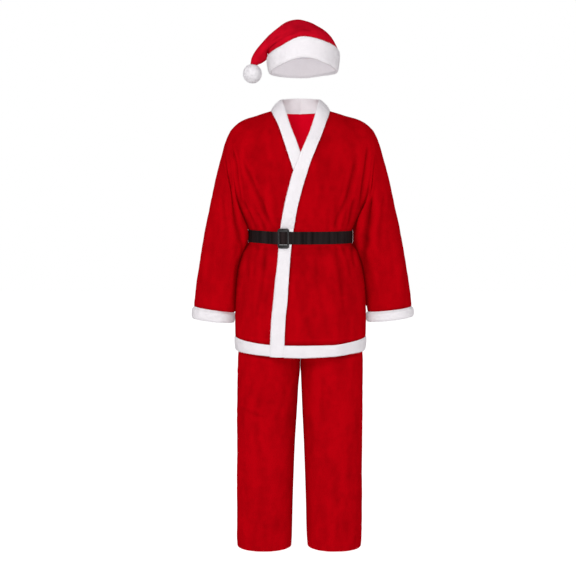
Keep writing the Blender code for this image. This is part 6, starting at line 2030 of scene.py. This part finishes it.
def effect_group(name, effect):
    """A shared effect as a node group, which puts out its shade and its relief over the surface."""
    tree = bpy.data.node_groups.new(name, "ShaderNodeTree")
    end = tree.nodes.new("NodeGroupOutput")
    for output, value in zip(("Shade", "Relief"), effect(tree)):
        tree.interface.new_socket(output, in_out="OUTPUT", socket_type="NodeSocketFloat")
        tree.links.new(value, end.inputs[output])
    return tree


def velour_mottle_and_painted_shade(tree):
    """How light the velour's nap lies, with painted shade in its folds, seams and hollows and painted light
    on its ridges, and its fine relief.
    """
    broad = noise_at(tree, 0.08, 1.0, (1, 1, 0.4))
    streak = noise_at(tree, 0.026, 1.0, (1, 1, 0.2), (3, 1, 2))
    patch = noise_at(tree, 0.028, 1.0, (1, 1, 0.55), (1, 4, 2))
    grain = noise_at(tree, 0.004, 2.0, (1, 1, 0.8), (5, 2, 1))
    shade = sum_of(tree, ((broad, 0.3), (streak, 0.22), (patch, 0.38), (grain, 0.1)))
    # painted shade: the fold shade attribute darkens the colour in hollows and seams, and lightens it on
    # ridges
    folds = node(tree, "Attribute", attribute_name="painted fold shade").outputs["Fac"]
    level = sum_of(tree, ((folds, -0.4), (spread(tree, shade, 0.36, 0.64), 0.44)), 0.56)
    fine = noise_at(tree, 0.0011, 1.0)
    nap = noise_at(tree, 0.006, 2.0)
    return level, sum_of(tree, ((fine, 0.35), (nap, 0.65)))


def plush_tufts(tree):
    """Small tufts of the plush and its faint broad shading."""
    broad = noise_at(tree, 0.03, 1.0)
    tuft = noise_at(tree, 0.0042, 2.0, (1, 1, 1), (2, 4, 1))
    return spread(tree, sum_of(tree, ((broad, 0.5), (tuft, 0.5))), 0.35, 0.65), tuft


def webbing_ribs(tree):
    """Weave of the belt: fine ribs along it and faint bands across it."""
    place = node(tree, "TexCoord").outputs["Object"]
    weave = {"Vector": place, "Scale": 1 / 0.0075, "Distortion": 0.6, "Detail": 1.0, "Detail Scale": 3.0}
    wave = node(tree, "TexWave", weave, bands_direction="Z").outputs["Fac"]
    bands = noise_at(tree, 0.01, 1.0, (1, 1, 0.05))
    grain = noise_at(tree, 0.0016, 1.0)
    shade = sum_of(tree, ((bands, 0.75), (grain, 0.15), (wave, 0.1)))
    return spread(tree, shade, 0.34, 0.66), sum_of(tree, ((wave, 0.7), (grain, 0.3)))


def finish_of(name, group, low, high, rough, specular, bump=0.0, reach=0.0, painted_glow=0.0):
    """A finish whose colour runs from low to high with the group's shade, with its relief as a bump. A
    painted glow makes it glow evenly in its high colour: painted light that lifts its shaded parts.
    """
    material = bpy.data.materials.new(name)
    material.use_nodes = True
    tree = material.node_tree
    source = node(tree, "Group", node_tree=group)
    colours = {"Factor": source.outputs["Shade"], "A": (*low, 1), "B": (*high, 1)}
    mixed = node(tree, "Mix", data_type="RGBA")
    set_inputs(tree, mixed, colours)
    inputs = {"Base Color": mixed.outputs["Result"], "Roughness": rough, "Specular IOR Level": specular}
    # painted light: an even glow in the high colour
    if painted_glow:
        inputs["Emission Color"] = (*high, 1)
        inputs["Emission Strength"] = painted_glow
    if bump:
        relief = {"Height": source.outputs["Relief"], "Strength": bump, "Distance": reach}
        inputs["Normal"] = node(tree, "Bump", relief).outputs["Normal"]
    set_inputs(tree, tree.nodes["Principled BSDF"], inputs)
    return material


def make_world(scene):
    """A white room, with a softer light of its own than the camera sees."""
    world = bpy.data.worlds.new("studio")
    scene.world = world
    world.use_nodes = True
    tree = world.node_tree
    tree.nodes.clear()
    seen = node(tree, "Background", {"Color": (1, 1, 1, 1), "Strength": 1.0})
    fill = node(tree, "Background", {"Color": FILL_COLOUR, "Strength": FILL_STRENGTH})
    camera_ray = node(tree, "LightPath").outputs["Is Camera Ray"]
    mixed = node(tree, "MixShader", {"Fac": camera_ray, 1: fill.outputs[0], 2: seen.outputs[0]})
    node(tree, "OutputWorld", {"Surface": mixed.outputs["Shader"]})


def make_lamp(scene, name, place, size, power):
    """A broad lamp, aimed at the suit."""
    light = bpy.data.lights.new(name, "AREA")
    light.shape = "RECTANGLE"
    light.size, light.size_y = size
    light.energy = power
    lamp = bpy.data.objects.new(name, light)
    lamp.location = place
    aim = Vector(LAMP_AIM) - Vector(place)
    lamp.rotation_euler = aim.to_track_quat("-Z", "Y").to_euler()
    scene.collection.objects.link(lamp)


def make_floor(scene):
    """A white floor under the trousers."""
    mesh = bpy.data.meshes.new("floor")
    corners = [(x * FLOOR_HALF, y * FLOOR_HALF, FLOOR_Z) for x, y in ((-1, -1), (1, -1), (1, 1), (-1, 1))]
    mesh.from_pydata(corners, [], [(0, 1, 2, 3)])
    material = bpy.data.materials.new("floor")
    material.use_nodes = True
    set_inputs(material.node_tree, material.node_tree.nodes["Principled BSDF"], {
        "Base Color": FLOOR_COLOUR,
        "Emission Color": (1, 1, 1, 1),
        "Emission Strength": FLOOR_GLOW,
        "Roughness": 0.9,
        "Specular IOR Level": 0.1,
    })
    mesh.materials.append(material)
    floor = bpy.data.objects.new("floor", mesh)
    scene.collection.objects.link(floor)


def make_camera(scene):
    """The camera, level with the jacket and turned down a little."""
    view = bpy.data.cameras.new("camera")
    view.lens = LENS
    view.sensor_width = SENSOR
    view.clip_end = CAMERA_REACH
    camera = bpy.data.objects.new("camera", view)
    camera.location = CAMERA_PLACE
    camera.rotation_euler = (math.pi / 2 - math.radians(CAMERA_DOWN), 0, 0)
    scene.collection.objects.link(camera)
    scene.camera = camera


def make_studio():
    """A white room with soft light, a pale floor and the camera."""
    scene = bpy.context.scene
    scene.view_settings.view_transform = "Standard"
    make_world(scene)
    for lamp in LAMPS:
        make_lamp(scene, *lamp)
    make_floor(scene)
    make_camera(scene)


# the velour's group paints shade into folds and seams as well as mottling the nap
mottle = effect_group("velour mottle and painted shade", velour_mottle_and_painted_shade)
tufts = effect_group("plush tufts", plush_tufts)
ribs = effect_group("webbing ribs", webbing_ribs)
# the velour's glow is painted light, lifting its shaded folds and gaps
VELOUR = finish_of("red velour", mottle, (0.074, 0.0001, 0.0008), (0.268, 0.0003, 0.0026), 0.95, 0.0,
                   0.45, 0.001, painted_glow=0.26)
# the hat velour's glow is painted light, lifting its shaded parts
HAT_VELOUR = finish_of("red velour hat", mottle, (0.104, 0.0006, 0.0033), (0.35, 0.0022, 0.01), 0.95, 0.0,
                       0.45, 0.001, painted_glow=0.24)
# the inside is painted far lighter than the velour outside and glows: painted light in the shaded insides of
# the neck, sleeves and legs
KNIT_BACK = finish_of("velour knit back with painted light", mottle, (0.437, 0.0006, 0.0101), (0.61, 0.0011, 0.0168), 0.95, 0.0,
                      0.2, 0.0006, painted_glow=0.28)
RED_THREAD = finish_of("red thread", mottle, (0.2, 0.0005, 0.0016), (0.26, 0.0008, 0.003), 0.7, 0.1)
# the plush's glow is painted light that evens out its shading and the pile's own shadows
PLUSH = finish_of("white plush", tufts, (0.53, 0.509, 0.526), (0.564, 0.543, 0.56), 0.95, 0.1,
                  0.25, 0.0008, painted_glow=0.4)
# the pompom is painted lighter than the plush and glows: painted light against its pile's own shadows
PUFF = finish_of("white pompom plush with painted light", tufts, (0.672, 0.655, 0.672), (0.69, 0.672, 0.69), 0.95, 0.1,
                 0.05, 0.0003, painted_glow=0.3)
# the lining is painted lighter and glows: painted light inside the hat
HAT_LINING = finish_of("white lining with painted light", tufts, (0.545, 0.53, 0.57), (0.595, 0.58, 0.615), 0.95, 0.1,
                       0.2, 0.0006, painted_glow=0.16)
WEBBING = finish_of("black webbing", ribs, (0.0018, 0.0007, 0.0007), (0.0128, 0.0074, 0.0078), 0.75, 0.08,
                    0.5, 0.0004)
PLASTIC = finish_of("dark moulded plastic", tufts, (0.005, 0.004, 0.0045), (0.0085, 0.007, 0.008), 0.2,
                    0.32, 0.08, 0.0003)
# the thread's glow is painted light
THREAD = finish_of("white thread", tufts, (0.85, 0.85, 0.87), (0.95, 0.95, 0.97), 0.8, 0.2, painted_glow=0.1)


over = make_front("front_left", 1.0)
under = make_front("front_right", -1.0)
back = make_back()
make_sleeve("sleeve_left", 1.0, over["arm"], back["arm_left"])
make_sleeve("sleeve_right", -1.0, under["arm"], back["arm_right"])
make_cuff("cuff_left", 1.0, 71)
make_cuff("cuff_right", -1.0, 73)
make_collar(back["neck"])
make_band("front_band_left", 1.0, over["wrap"], 34)
make_band("front_band_right", -1.0, under["wrap"], 32)
make_hem("hem_trim_back", 1, back["hem"], 0, 81)
make_hem("hem_trim_left", -1, over["hem"], 1, 83)
make_hem("hem_trim_right", -1, under["hem"], -1, 85)
make_belt()
make_buckle()
make_loop("belt_loop_left", 1.0)
make_loop("belt_loop_right", -1.0)
make_leg("leg_left", 1.0)
make_leg("leg_right", -1.0)
make_waistband()
make_crown()
make_hat_band()
make_pompom()
make_studio()
